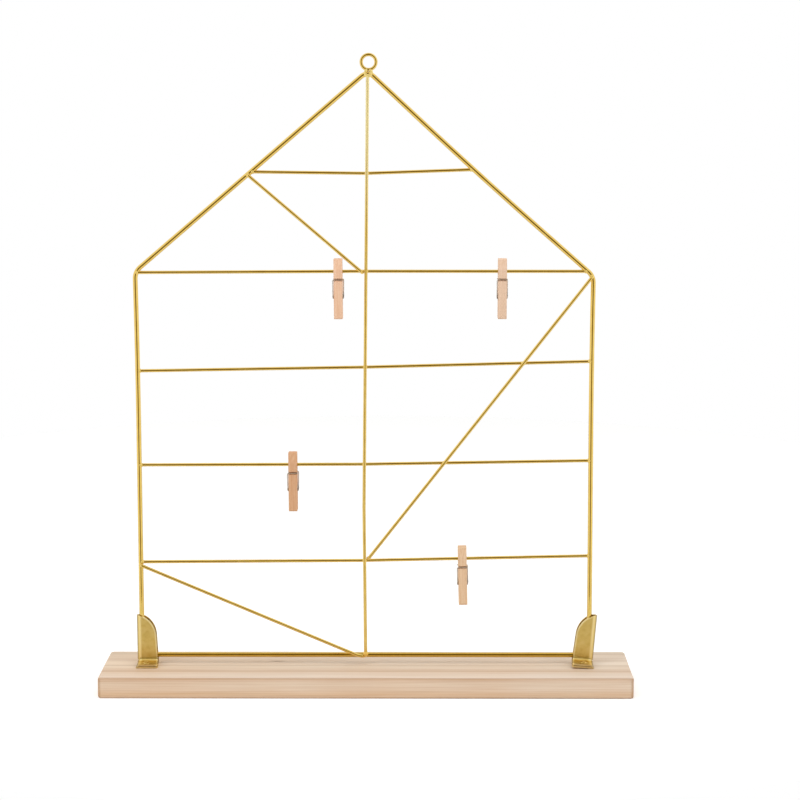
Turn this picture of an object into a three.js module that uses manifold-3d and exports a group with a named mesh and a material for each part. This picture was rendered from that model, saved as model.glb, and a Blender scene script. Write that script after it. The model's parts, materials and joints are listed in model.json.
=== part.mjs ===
// Standing card rack: a house-shaped wire frame on a pine board, with sprung mini pegs on its rails.
// Millimetres, +Z up. The origin is at the middle of the board's underside and the front faces -Y.
import * as THREE from "three";
import { mergeVertices } from "three/addons/utils/BufferGeometryUtils.js";
import Module from "manifold-3d";

// Board
const boardWidth = 321;
const boardDepth = 60;
const boardThickness = 12.4;
const boardEdgeRound = 1.2;

// Wire gauges and the plane in which the frame stands
const frameWire = 3.0;
const innerWire = 2.0;
const framePlaneY = 3.3;
const weldGap = 0.1;
const copeGap = 0.25;

// House outline: heights are above the board's top, at the sharp corners of the centre line
const boardOverhang = 24.2;
const frameWidth = boardWidth - 2 * boardOverhang;
const frameCentreX = -1.1;
const rightSplay = 1.0;
const footRunHeight = 5.6;
const leftEaveHeight = 240.6;
const rightEaveHeight = 237.8;
const apexHeight = 358.4;
const apexShift = 2.3;
const footBend = 6;
const eaveBend = 4;
const apexBend = 4.5;
const frameButtGap = 0.3;

// Hanging ring on the apex
const ringBore = 6.7;
const ringWire = 2.0;
const ringShift = 0.8;
const ringButtGap = 0.4;

// Cross rails: height above the board at the left end, at the upright and at the right end
const railHeights = [
  [299.8, 298.95, 301.15],
  [240.15, 240.95, 240.95],
  [181.0, 183.35, 186.9],
  [123.65, 124.2, 126.5],
  [63.7, 64.7, 67.7],
];

// Upright: place along X at its top, at its slight bow and at its foot
const uprightTopX = 1.45;
const uprightBowX = -1.3;
const uprightBowHeight = 98.1;
const uprightFootX = -0.55;
const uprightTopLap = 0.7;
const uprightFootLap = 0.6;

// Braces: how far their ends lie past or short of the wires that they meet
const roofBraceDrop = 1.6;
const longBraceDrop = 3.25;
const longBraceRise = 1.5;
const footBraceDrop = 1.6;
const braceUprightGap = 0.3;
const braceRailLap = 1.0;

// Folded sheet brackets
const sheet = 1.2;
const sleeveClearance = 0.3;
const bracketWidth = 12.75;
const bracketHeight = 30.4;
const bracketShoulder = 16.6;
const bracketShoulderWidth = 11.85;
const bracketFootDepth = 9.4;
const bracketFootInset = 1.0;
const bracketFootFlare = 0.9;
const bracketFootCorner = 0.8;
const bracketFootNose = 1.8;
const bracketBend = 2.0;
const bracketBendInset = 1.2;
const rightBracketLean = 4.6;
const rightBracketShift = 0.75;
const seatGap = 0.1;

// Wood screws
const screwHead = 4.4;
const screwHeadHeight = 0.9;
const screwShank = 2.4;
const screwLength = 9.5;
const screwTip = 2.0;
const screwClearance = 0.3;

// Mini pegs: lengths along a leg are measured from the tip of its jaw
const pegLength = 35.9;
const pegWidth = 5.2;
const legThickness = 3.8;
const jawGap = 0.3;
const jawLeadIn = 1.2;
const jawTipThickness = 2.7;
const jawTaperLength = 6.5;
const notchFromTip = 7.6;
const notchClearance = 0.3;
const grooveFromTip = 12.4;
const coilFromTip = 22;
const handleTaper = 8;
const handleEndRound = 0.8;

// Peg springs
const springWire = 0.8;
const springMeanRadius = 1.65;
const springTurns = 4;
const springClearance = 0.3;
const springSideGap = 0.15;
const springArmBend = 0.9;
const springBarSink = 0.4;
const springBarEnd = 0.35;

// Where each peg hangs: its rail, its side of the upright and its distance from the upright
const pegPlaces = [
  { rail: 1, side: -1, along: 16.65 },
  { rail: 1, side: 1, along: 81.15 },
  { rail: 3, side: -1, along: 43.2 },
  { rail: 4, side: 1, along: 59.3 },
];

// How finely the round forms are faceted
const frameSides = 12;
const innerSides = 10;
const springSides = 5;
const curlSteps = 8;
const ringSteps = 28;
const bendSteps = 6;
const arcSteps = 8;

// Places that follow from the sizes above
const boardTop = boardThickness;
const frameRadius = frameWire / 2;
const innerRadius = innerWire / 2;
const leftX = frameCentreX - frameWidth / 2;
const rightX = frameCentreX + frameWidth / 2;
const rightFootX = rightX + rightSplay;
const apexX = frameCentreX + apexShift;
const footZ = boardTop + footRunHeight;
const apexZ = boardTop + apexHeight;
const leftEaveZ = boardTop + leftEaveHeight;
const rightEaveZ = boardTop + rightEaveHeight;
const railY = framePlaneY - frameRadius + innerRadius;
const lapY = framePlaneY - frameRadius - weldGap - innerRadius;

const wasm = await Module();
wasm.setup();

// A polyline that an extrusion follows knot by knot, with mitred corners.
class Knots extends THREE.Curve {
  constructor(points) {
    super();
    this.points = points;
  }
  getUtoTmapping(u) {
    return u;
  }
  getPoint(t) {
    const last = this.points.length - 1;
    const index = Math.min(Math.floor(t * last + 1e-9), last - 1);
    return this.points[index].clone().lerp(this.points[index + 1], t * last - index);
  }
  getTangent(t) {
    const last = this.points.length - 1;
    const knot = Math.round(t * last);
    const sum = new THREE.Vector3();
    for (const from of [knot - 1, knot]) {
      if (from >= 0 && from < last) {
        sum.add(this.points[from + 1].clone().sub(this.points[from]).normalize());
      }
    }
    return sum.normalize();
  }
}

// A round wire of one diameter along a list of points.
function wireAlong(points, diameter, sides) {
  const section = new THREE.Shape();
  for (let i = 0; i < sides; i += 1) {
    const angle = (2 * Math.PI * (i + 0.5)) / sides;
    const x = (Math.cos(angle) * diameter) / 2;
    const y = (Math.sin(angle) * diameter) / 2;
    if (i === 0) section.moveTo(x, y);
    else section.lineTo(x, y);
  }
  section.closePath();
  const path = new Knots(points);
  return new THREE.ExtrudeGeometry(section, { steps: points.length - 1, extrudePath: path });
}

// Rounds each inner corner of a list of points: every corner gives its own bend radius.
function bendCorners(corners, radii, steps) {
  const points = [corners[0]];
  for (let i = 1; i < corners.length - 1; i += 1) {
    const toPrevious = corners[i - 1].clone().sub(corners[i]).normalize();
    const toNext = corners[i + 1].clone().sub(corners[i]).normalize();
    const half = Math.acos(THREE.MathUtils.clamp(toPrevious.dot(toNext), -1, 1)) / 2;
    const bisector = toPrevious.clone().add(toNext).normalize();
    const centre = corners[i].clone().addScaledVector(bisector, radii[i - 1] / Math.sin(half));
    const setback = radii[i - 1] / Math.tan(half);
    const from = corners[i].clone().addScaledVector(toPrevious, setback).sub(centre);
    const across = corners[i].clone().addScaledVector(toNext, setback).sub(centre);
    const sweep = Math.PI - 2 * half;
    for (let k = 0; k <= steps; k += 1) {
      const angle = (sweep * k) / steps;
      const a = Math.sin(sweep - angle) / Math.sin(sweep);
      const b = Math.sin(angle) / Math.sin(sweep);
      points.push(centre.clone().addScaledVector(from, a).addScaledVector(across, b));
    }
  }
  points.push(corners[corners.length - 1]);
  return points;
}

// A closed geometry as a solid for joining and cutting, and back again.
function solidOf(geometry) {
  const bare = geometry.clone();
  bare.deleteAttribute("normal");
  bare.deleteAttribute("uv");
  const merged = mergeVertices(bare, 1e-4);
  const triVerts = new Uint32Array(merged.index.array);
  const vertProperties = merged.attributes.position.array;
  return new wasm.Manifold(new wasm.Mesh({ numProp: 3, vertProperties, triVerts }));
}

function geometryOf(solid) {
  const mesh = solid.getMesh();
  const geometry = new THREE.BufferGeometry();
  geometry.setAttribute("position", new THREE.BufferAttribute(mesh.vertProperties, 3));
  geometry.setIndex(new THREE.BufferAttribute(mesh.triVerts, 1));
  geometry.computeVertexNormals();
  return geometry;
}

// An outline extruded along one axis. Along X its points are (y, z), along Y (x, z), along Z (x, y).
function extrudeAlong(axis, shape, from, to) {
  const settings = { depth: to - from, bevelEnabled: false, curveSegments: arcSteps };
  const geometry = new THREE.ExtrudeGeometry(shape, settings);
  geometry.translate(0, 0, from);
  const basis = new THREE.Matrix4();
  if (axis === "x") basis.set(0, 0, 1, 0, 1, 0, 0, 0, 0, 1, 0, 0, 0, 0, 0, 1);
  if (axis === "y") basis.set(1, 0, 0, 0, 0, 0, -1, to + from, 0, 1, 0, 0, 0, 0, 0, 1);
  return geometry.applyMatrix4(basis);
}

// A rectangle with every corner rounded.
function roundedRectangle(x0, y0, x1, y1, radius) {
  const shape = new THREE.Shape();
  shape.moveTo(x0 + radius, y0);
  shape.lineTo(x1 - radius, y0);
  shape.absarc(x1 - radius, y0 + radius, radius, -Math.PI / 2, 0, false);
  shape.lineTo(x1, y1 - radius);
  shape.absarc(x1 - radius, y1 - radius, radius, 0, Math.PI / 2, false);
  shape.lineTo(x0 + radius, y1);
  shape.absarc(x0 + radius, y1 - radius, radius, Math.PI / 2, Math.PI, false);
  shape.lineTo(x0, y0 + radius);
  shape.absarc(x0 + radius, y0 + radius, radius, Math.PI, 1.5 * Math.PI, false);
  return shape;
}

const finishes = {
  pine: { color: 0xdfc7ab, roughness: 0.75, metalness: 0 },
  goldWire: { color: 0xb8922f, roughness: 0.3, metalness: 0.9 },
  goldSheet: { color: 0xc4a552, roughness: 0.4, metalness: 0.85 },
  goldScrew: { color: 0xb9974a, roughness: 0.35, metalness: 0.9 },
  pegWood: { color: 0xe0b892, roughness: 0.8, metalness: 0 },
  springSteel: { color: 0xa5a09a, roughness: 0.35, metalness: 1 },
};

const rack = new THREE.Group();

function addPiece(parent, name, geometry, finish) {
  const mesh = new THREE.Mesh(geometry, new THREE.MeshStandardMaterial(finishes[finish]));
  mesh.name = name;
  parent.add(mesh);
  return mesh;
}

function onFrame(x, z) {
  return new THREE.Vector3(x, framePlaneY, z);
}

// House frame: one wire whose ends butt at the middle of the bottom run
const frameCorners = [
  onFrame(uprightFootX - frameButtGap / 2, footZ),
  onFrame(leftX, footZ),
  onFrame(leftX, leftEaveZ),
  onFrame(apexX, apexZ),
  onFrame(rightX, rightEaveZ),
  onFrame(rightFootX, footZ),
  onFrame(uprightFootX + frameButtGap / 2, footZ),
];
const frameBends = [footBend, eaveBend, apexBend, eaveBend, footBend];
const framePath = bendCorners(frameCorners, frameBends, bendSteps);
addPiece(rack, "house_frame", wireAlong(framePath, frameWire, frameSides), "goldWire");

// The same wire grown by the cope gap: what is welded between the sides is cut back to it
const coped = solidOf(wireAlong(framePath, frameWire + 2 * copeGap, frameSides));

// Where the centre line of the frame's left or right half lies along X at a height.
function frameXAt(side, z) {
  const footX = side < 0 ? leftX : rightFootX;
  const eaveX = side < 0 ? leftX : rightX;
  const eaveZ = side < 0 ? leftEaveZ : rightEaveZ;
  if (z <= eaveZ) return THREE.MathUtils.mapLinear(z, footZ, eaveZ, footX, eaveX);
  return THREE.MathUtils.mapLinear(z, eaveZ, apexZ, eaveX, apexX);
}

// Where the upright's centre line lies along X at a height.
function uprightXAt(z) {
  const bowZ = boardTop + uprightBowHeight;
  if (z > bowZ) return THREE.MathUtils.mapLinear(z, bowZ, apexZ, uprightBowX, uprightTopX);
  return THREE.MathUtils.mapLinear(z, footZ, bowZ, uprightFootX, uprightBowX);
}

// How far the bent apex's centre line lies below its sharp corner, and so where its crest is
const apexDrop = (() => {
  const left = new THREE.Vector2(leftX - apexX, leftEaveZ - apexZ).normalize();
  const right = new THREE.Vector2(rightX - apexX, rightEaveZ - apexZ).normalize();
  const half = Math.acos(left.dot(right)) / 2;
  return apexBend / Math.sin(half) - apexBend;
})();
const apexCrestZ = apexZ - apexDrop;

// Hanging ring: a loop that stands on the apex, with its butted ends at the bottom
function hangingRing() {
  const meanRadius = (ringBore + ringWire) / 2;
  const centreZ = apexCrestZ + frameRadius + weldGap + ringWire / 2 + meanRadius;
  const halfGap = Math.asin(ringButtGap / 2 / meanRadius);
  const points = [];
  for (let i = 0; i <= ringSteps; i += 1) {
    const angle = -Math.PI / 2 + THREE.MathUtils.lerp(halfGap, 2 * Math.PI - halfGap, i / ringSteps);
    const x = apexX + ringShift + meanRadius * Math.cos(angle);
    points.push(onFrame(x, centreZ + meanRadius * Math.sin(angle)));
  }
  return wireAlong(points, ringWire, innerSides);
}
addPiece(rack, "hanging_ring", hangingRing(), "goldWire");

// Cross rails: each runs from side to side by way of the upright
function railEnds(index) {
  const [left, middle, right] = railHeights[index].map((height) => boardTop + height);
  return [
    new THREE.Vector3(frameXAt(-1, left), railY, left),
    new THREE.Vector3(uprightXAt(middle), railY, middle),
    new THREE.Vector3(frameXAt(1, right), railY, right),
  ];
}

railHeights.forEach((heights, index) => {
  const rail = solidOf(wireAlong(railEnds(index), innerWire, innerSides)).subtract(coped);
  addPiece(rack, `rail_${index + 1}`, geometryOf(rail), "goldWire");
});

// The height of a rail's centre line at a place along X.
function railZAt(index, x) {
  const [left, middle, right] = railEnds(index);
  const [from, to] = x < middle.x ? [left, middle] : [middle, right];
  return THREE.MathUtils.mapLinear(x, from.x, to.x, from.z, to.z);
}

// Upright: lapped on the front of the rails, from the apex to the bottom run
function onLap(x, z) {
  return new THREE.Vector3(x, lapY, z);
}

const uprightPath = [
  onLap(uprightXAt(footZ - uprightFootLap), footZ - uprightFootLap),
  onLap(uprightBowX, boardTop + uprightBowHeight),
  onLap(uprightXAt(apexCrestZ - uprightTopLap), apexCrestZ - uprightTopLap),
];
addPiece(rack, "centre_upright", wireAlong(uprightPath, innerWire, innerSides), "goldWire");

// Braces: each is lapped on the front and ends beside the upright
const besideUpright = innerWire + braceUprightGap;

function addBrace(name, upper, lower) {
  addPiece(rack, name, wireAlong([upper, lower], innerWire, innerSides), "goldWire");
}

const roofBraceTopZ = railEnds(0)[0].z - roofBraceDrop;
const roofBraceFootX = uprightXAt(railEnds(1)[1].z) - besideUpright;
addBrace(
  "brace_roof",
  onLap(frameXAt(-1, roofBraceTopZ), roofBraceTopZ),
  onLap(roofBraceFootX, railZAt(1, roofBraceFootX) - braceRailLap / 2),
);

const longBraceTopZ = railEnds(1)[2].z - longBraceDrop;
const longBraceFootX = uprightXAt(railEnds(4)[1].z) + besideUpright;
addBrace(
  "brace_long",
  onLap(frameXAt(1, longBraceTopZ) - innerRadius, longBraceTopZ),
  onLap(longBraceFootX, railZAt(4, longBraceFootX) + longBraceRise),
);

const footBraceTopZ = railEnds(4)[0].z - footBraceDrop;
const footBraceFootX = uprightXAt(footZ) - besideUpright;
addBrace(
  "brace_foot",
  onLap(frameXAt(-1, footBraceTopZ), footBraceTopZ),
  onLap(footBraceFootX, footZ - braceRailLap),
);

// Brackets: a sleeve folded round the lower corner of the frame, on a foot turned forward.
// Local places: x is 0 at the fold's outer edge and grows inwards times inward,
// y is 0 at the wire and z is 0 at the seat.
const sleeveInner = frameRadius + sleeveClearance;
const sleeveOuter = sleeveInner + sheet;
const footThickness = 2 * sheet;
const footFront = -sleeveOuter - bracketFootDepth;
const screwX = bracketWidth / 2;
const screwY = footFront / 2 - (sleeveOuter + bracketBend) / 2;

// The fold in plan: two cheeks joined by a half round on the outer side.
function sleevePlan(inward) {
  const shape = new THREE.Shape();
  const turn = inward > 0;
  shape.moveTo(inward * bracketWidth, -sleeveOuter);
  shape.lineTo(inward * sleeveOuter, -sleeveOuter);
  shape.absarc(inward * sleeveOuter, 0, sleeveOuter, -Math.PI / 2, Math.PI / 2, turn);
  shape.lineTo(inward * bracketWidth, sleeveOuter);
  shape.lineTo(inward * bracketWidth, sleeveInner);
  shape.lineTo(inward * sleeveOuter, sleeveInner);
  shape.absarc(inward * sleeveOuter, 0, sleeveInner, Math.PI / 2, -Math.PI / 2, !turn);
  shape.lineTo(inward * bracketWidth, -sleeveInner);
  shape.closePath();
  return shape;
}

// The cheek from the front: drawn in a little up to the shoulder, and a quarter ellipse above it.
function cheekOutline(inward) {
  const shape = new THREE.Shape();
  shape.moveTo(0, 0);
  shape.lineTo(inward * bracketWidth, 0);
  shape.lineTo(inward * bracketShoulderWidth, bracketShoulder);
  const steps = 2 * arcSteps;
  for (let i = 1; i <= steps; i += 1) {
    const angle = (Math.PI / 2) * (i / steps);
    const rise = (bracketHeight - bracketShoulder) * Math.sin(angle);
    shape.lineTo(inward * bracketShoulderWidth * Math.cos(angle), bracketShoulder + rise);
  }
  shape.closePath();
  return shape;
}

// The foot in plan: rounded to the fold behind, drawn in on the outer side and eased at its front corners.
function footPlan(inward) {
  const at = (x, y) => new THREE.Vector3(inward * x, y, 0);
  const corners = [
    at(bracketWidth, sleeveOuter),
    at(0, sleeveOuter),
    at(bracketFootInset, footFront),
    at(bracketWidth + bracketFootFlare, footFront),
    at(bracketWidth, sleeveOuter),
  ];
  const outline = bendCorners(corners, [sleeveOuter, bracketFootCorner, bracketFootNose], bendSteps);
  return new THREE.Shape(outline.slice(0, -1).map(({ x, y }) => new THREE.Vector2(x, y)));
}

// The inside of the bend between the front cheek and the foot, seen from the side.
function bendSection() {
  const shape = new THREE.Shape();
  const y = -sleeveOuter;
  const centreY = y - bracketBend;
  const centreZ = footThickness + bracketBend;
  shape.moveTo(y + sheet / 2, footThickness - sheet / 2);
  shape.lineTo(y + sheet / 2, centreZ);
  shape.lineTo(y, centreZ);
  shape.absarc(centreY, centreZ, bracketBend, 0, -Math.PI / 2, true);
  shape.lineTo(centreY, footThickness - sheet / 2);
  shape.closePath();
  return shape;
}

// The back cheek's foot lies under the front cheek's, which starts in front of the wire.
function bracket(inward) {
  const sleeve = solidOf(extrudeAlong("z", sleevePlan(inward), sheet / 2, bracketHeight));
  const ends = [inward * bracketBendInset, inward * bracketWidth].sort((a, b) => a - b);
  const bend = solidOf(extrudeAlong("x", bendSection(), ends[0], ends[1]));
  const outline = solidOf(extrudeAlong("y", cheekOutline(inward), footFront, 2 * sleeveOuter));
  const lower = solidOf(extrudeAlong("z", footPlan(inward), 0, sheet));
  const whole = solidOf(extrudeAlong("z", footPlan(inward), 0, footThickness));
  const upper = whole.trimByPlane([0, -1, 0], sleeveInner);
  const hole = screwTool(screwShank / 2 + screwClearance, -footThickness, 2 * footThickness, inward);
  return geometryOf(sleeve.add(bend).intersect(outline).add(lower).add(upper).subtract(hole));
}

// A round tool on the screw's axis, in the bracket's places.
function screwTool(radius, from, to, inward) {
  const tool = new THREE.CylinderGeometry(radius, radius, to - from, 2 * arcSteps);
  tool.rotateX(Math.PI / 2);
  tool.translate(inward * screwX, screwY, (from + to) / 2);
  return solidOf(tool);
}

// A domed wood screw, with its head's underside at z 0.
function screw() {
  const profile = [new THREE.Vector2(0, -screwLength)];
  profile.push(new THREE.Vector2(screwShank / 2, screwTip - screwLength));
  profile.push(new THREE.Vector2(screwShank / 2, 0));
  for (let i = 0; i < arcSteps; i += 1) {
    const angle = (Math.PI / 2) * (i / arcSteps);
    profile.push(new THREE.Vector2((screwHead / 2) * Math.cos(angle), screwHeadHeight * Math.sin(angle)));
  }
  profile.push(new THREE.Vector2(0, screwHeadHeight));
  return new THREE.LatheGeometry(profile, 2 * arcSteps).rotateX(Math.PI / 2);
}

const bracketSides = [
  { name: "left", inward: 1, outerX: leftX - sleeveOuter, lean: 0 },
  { name: "right", inward: -1, outerX: rightFootX + sleeveOuter - rightBracketShift, lean: rightBracketLean },
];

// The board, with a pilot hole on each screw's axis
function baseBoard() {
  const halfWidth = boardWidth / 2;
  const halfDepth = boardDepth / 2;
  const plan = roundedRectangle(-halfWidth, -halfDepth, halfWidth, halfDepth, boardEdgeRound);
  const end = roundedRectangle(-halfDepth, 0, halfDepth, boardThickness, boardEdgeRound);
  const front = roundedRectangle(-halfWidth, 0, halfWidth, boardThickness, boardEdgeRound);
  let board = solidOf(extrudeAlong("z", plan, 0, boardThickness));
  board = board.intersect(solidOf(extrudeAlong("x", end, -halfWidth, halfWidth)));
  board = board.intersect(solidOf(extrudeAlong("y", front, -halfDepth, halfDepth)));
  return board;
}

let board = baseBoard();
for (const { name, inward, outerX, lean } of bracketSides) {
  const seat = new THREE.Group();
  seat.position.set(outerX, framePlaneY, boardTop + seatGap);
  seat.rotation.y = THREE.MathUtils.degToRad(lean);
  rack.add(seat);
  addPiece(seat, `bracket_${name}`, bracket(inward), "goldSheet");
  const fastener = addPiece(seat, `screw_${name}`, screw(), "goldScrew");
  fastener.position.set(inward * screwX, screwY, footThickness + seatGap);
  seat.updateMatrixWorld(true);
  const depth = screwLength - footThickness + screwClearance;
  const pilot = screwTool(screwShank / 2 + screwClearance, -depth, screwHead, inward);
  board = board.subtract(solidOf(geometryOf(pilot).applyMatrix4(seat.matrixWorld)));
}
addPiece(rack, "base_board", geometryOf(board), "pine");

// Pegs. Local places: the spring's coil lies on the X axis, the jaws point to +Z and the front leg is at -Y.
const tipZ = coilFromTip;
const handleZ = coilFromTip - pegLength;
const notchZ = coilFromTip - notchFromTip;
const grooveZ = coilFromTip - grooveFromTip;
const innerFace = jawGap / 2;
const outerFace = innerFace + legThickness;
const barY = outerFace - springBarSink;
const coilSeat = springMeanRadius + springWire / 2 + springClearance;
const barSeat = springWire / 2 + springClearance;
const notchRadius = innerRadius + notchClearance;
const taperAngle = THREE.MathUtils.degToRad(handleTaper);

// One leg from the side: depth is measured away from the middle of the peg, height along the leg.
function legOutline(side) {
  const shape = new THREE.Shape();
  const put = (depth, z) => shape.lineTo(side * depth, z);
  const handleInner = (z) => innerFace - Math.tan(taperAngle) * z;
  // A hollow in a face, from above to below it, round a centre at a depth.
  const hollow = (centre, z, radius, from, to) => {
    for (let i = 0; i <= arcSteps; i += 1) {
      const angle = THREE.MathUtils.lerp(from, to, i / arcSteps);
      put(centre + radius * Math.cos(angle), z + radius * Math.sin(angle));
    }
  };
  const notchAngle = Math.acos(innerFace / notchRadius);
  const coilTop = Math.acos(innerFace / coilSeat);
  const coilBottom = Math.acos((innerFace * Math.cos(taperAngle)) / coilSeat) - taperAngle;
  const barAngle = Math.acos(springBarSink / barSeat);
  shape.moveTo(side * (innerFace + jawLeadIn / 2), tipZ);
  put(innerFace, tipZ - jawLeadIn);
  hollow(0, notchZ, notchRadius, notchAngle, -notchAngle);
  hollow(0, 0, coilSeat, coilTop, -coilBottom);
  put(handleInner(handleZ), handleZ);
  put(outerFace - handleEndRound, handleZ);
  put(outerFace, handleZ + handleEndRound);
  hollow(barY, grooveZ, barSeat, 2 * Math.PI - barAngle, barAngle);
  put(outerFace, tipZ - jawTaperLength);
  put(innerFace + jawTipThickness, tipZ);
  shape.closePath();
  return shape;
}

function pegLeg(side) {
  return extrudeAlong("x", legOutline(side), -pegWidth / 2, pegWidth / 2);
}

// Spring: a bar across the front leg, an arm down its side, the coil, and the same again on the back leg.
// The arms leave the coil along its tangents, so the second half is the first turned about Z.
const armX = pegWidth / 2 + springSideGap + springWire / 2;
const barReach = Math.hypot(barY, grooveZ);
const tangentAngle = Math.PI - Math.atan2(grooveZ, barY) + Math.acos(springMeanRadius / barReach);

function springKnots() {
  const bar = new THREE.Vector3(-armX, -barY, grooveZ);
  const tangent = new THREE.Vector3(
    -armX,
    springMeanRadius * Math.cos(tangentAngle),
    springMeanRadius * Math.sin(tangentAngle),
  );
  const barEnd = bar.clone().setX(pegWidth / 2 + springBarEnd);
  const arm = bendCorners([barEnd, bar, tangent], [springArmBend], bendSteps / 2);
  const half = arm.slice(0, -1);
  const sweep = 2 * Math.PI * springTurns + 3 * Math.PI - 2 * tangentAngle;
  const steps = Math.round((curlSteps * sweep) / (2 * Math.PI));
  const coil = [];
  for (let i = 0; i <= steps; i += 1) {
    const angle = tangentAngle + (sweep * i) / steps;
    const y = springMeanRadius * Math.cos(angle);
    const z = springMeanRadius * Math.sin(angle);
    coil.push(new THREE.Vector3(armX * ((2 * i) / steps - 1), y, z));
  }
  const turned = half.map((p) => new THREE.Vector3(-p.x, -p.y, p.z)).reverse();
  return [...half, ...coil, ...turned];
}

// The least gap between stretches of the spring that are half a turn or more apart along the wire.
function leastGap(points) {
  const dense = [];
  for (let i = 0; i < points.length - 1; i += 1) {
    const length = points[i].distanceTo(points[i + 1]);
    const parts = Math.ceil(length / (springWire / 4));
    for (let k = 0; k < parts; k += 1) dense.push(points[i].clone().lerp(points[i + 1], k / parts));
  }
  const run = [0];
  for (let i = 1; i < dense.length; i += 1) run.push(run[i - 1] + dense[i].distanceTo(dense[i - 1]));
  let least = Infinity;
  for (let i = 0; i < dense.length; i += 1) {
    for (let k = i + 1; k < dense.length; k += 1) {
      const apart = run[k] - run[i] > Math.PI * springMeanRadius;
      if (apart) least = Math.min(least, dense[i].distanceTo(dense[k]));
    }
  }
  return least - springWire;
}

const springPath = springKnots();
console.log(`peg spring: least gap to itself ${leastGap(springPath).toFixed(2)} mm`);

pegPlaces.forEach(({ rail, side, along }, index) => {
  const [left, middle, right] = railEnds(rail);
  const far = side < 0 ? left : right;
  const direction = far.clone().sub(middle).normalize().multiplyScalar(side);
  const grip = middle.clone().addScaledVector(direction, side * along);
  const peg = new THREE.Group();
  peg.rotation.y = -Math.atan2(direction.z, direction.x);
  peg.position.copy(grip).addScaledVector(new THREE.Vector3(-direction.z, 0, direction.x), -notchZ);
  rack.add(peg);
  const name = `peg_${index + 1}`;
  addPiece(peg, `${name}_front_leg`, pegLeg(-1), "pegWood");
  addPiece(peg, `${name}_back_leg`, pegLeg(1), "pegWood");
  addPiece(peg, `${name}_spring`, wireAlong(springPath, springWire, springSides), "springSteel");
});

export default rack;
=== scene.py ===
import json
import bmesh
import bpy
import numpy as np
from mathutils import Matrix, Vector

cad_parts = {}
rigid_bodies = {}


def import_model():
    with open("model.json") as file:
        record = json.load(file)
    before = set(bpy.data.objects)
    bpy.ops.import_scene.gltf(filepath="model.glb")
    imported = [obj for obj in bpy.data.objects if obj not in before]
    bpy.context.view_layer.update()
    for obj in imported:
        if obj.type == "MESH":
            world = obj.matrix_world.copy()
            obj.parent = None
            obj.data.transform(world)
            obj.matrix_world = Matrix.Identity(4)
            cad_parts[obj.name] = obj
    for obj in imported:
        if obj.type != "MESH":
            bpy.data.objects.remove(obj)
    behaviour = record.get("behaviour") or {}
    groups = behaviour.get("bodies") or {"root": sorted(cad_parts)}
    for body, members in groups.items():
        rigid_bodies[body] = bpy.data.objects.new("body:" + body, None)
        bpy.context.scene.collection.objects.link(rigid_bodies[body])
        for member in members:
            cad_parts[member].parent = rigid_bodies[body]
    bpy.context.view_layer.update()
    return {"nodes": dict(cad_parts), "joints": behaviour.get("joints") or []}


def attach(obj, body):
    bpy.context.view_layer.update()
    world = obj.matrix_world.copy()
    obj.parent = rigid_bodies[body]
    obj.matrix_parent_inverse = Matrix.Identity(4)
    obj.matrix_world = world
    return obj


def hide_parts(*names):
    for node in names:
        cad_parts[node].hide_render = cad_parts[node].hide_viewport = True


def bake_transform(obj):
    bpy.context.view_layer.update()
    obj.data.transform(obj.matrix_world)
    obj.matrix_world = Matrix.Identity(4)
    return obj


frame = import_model()
scene = bpy.context.scene
mm = 0.001  # sizes are in millimetres, apart from those of the soft boxes and the floor
print("stage: frame loaded,", len(frame["nodes"]), "nodes")


# Small helpers for vectors, colours and nodes
def unit(rows):
    # each row divided by its own length
    return rows / np.linalg.norm(rows, axis=-1, keepdims=True)


def linearOf(hexColour):
    # sRGB to linear light: a straight line near black, a power of 2.4 above it
    srgb = np.array([int(hexColour[i:i + 2], 16) for i in (1, 3, 5)]) / 255
    linear = np.where(srgb <= 0.04045, srgb / 12.92, ((srgb + 0.055) / 1.055) ** 2.4)
    return (*linear.tolist(), 1.0)


white = linearOf("#FFFFFF")


def addNode(tree, kind, settings=None, sockets=None, stops=None):
    # one node: plain settings, then sockets that take a value or a link, then a ramp's stops
    node = tree.nodes.new(kind)
    for key, value in (settings or {}).items():
        setattr(node, key, value)
    for key, value in (sockets or {}).items():
        if isinstance(value, bpy.types.NodeSocket):
            tree.links.new(value, node.inputs[key])
        else:
            node.inputs[key].default_value = value
    for i, (place, hexColour) in enumerate(stops or []):
        ramp = node.color_ramp.elements
        stop = ramp[i] if i < 2 else ramp.new(place)
        stop.position = place
        stop.color = linearOf(hexColour)
    return node


# Camera: fitted to the board's corners and the sides of the house in the photograph
photoCamera = {
    "place": (25.587, -1241.822, 369.588),
    "tiltDown": 8.850,
    "turnLeft": 0.237,
    "lens": 94.35,
    "sensor": 36.0,
}
cameraData = bpy.data.cameras.new("photoCamera")
cameraData.lens = photoCamera["lens"]
cameraData.sensor_width = photoCamera["sensor"]
camera = bpy.data.objects.new("photoCamera", cameraData)
camera.location = np.array(photoCamera["place"]) * mm
camera.rotation_euler = np.radians([90 - photoCamera["tiltDown"], 0, photoCamera["turnLeft"]])
scene.collection.objects.link(camera)
scene.camera = camera
scene.view_settings.view_transform = "Standard"

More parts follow.
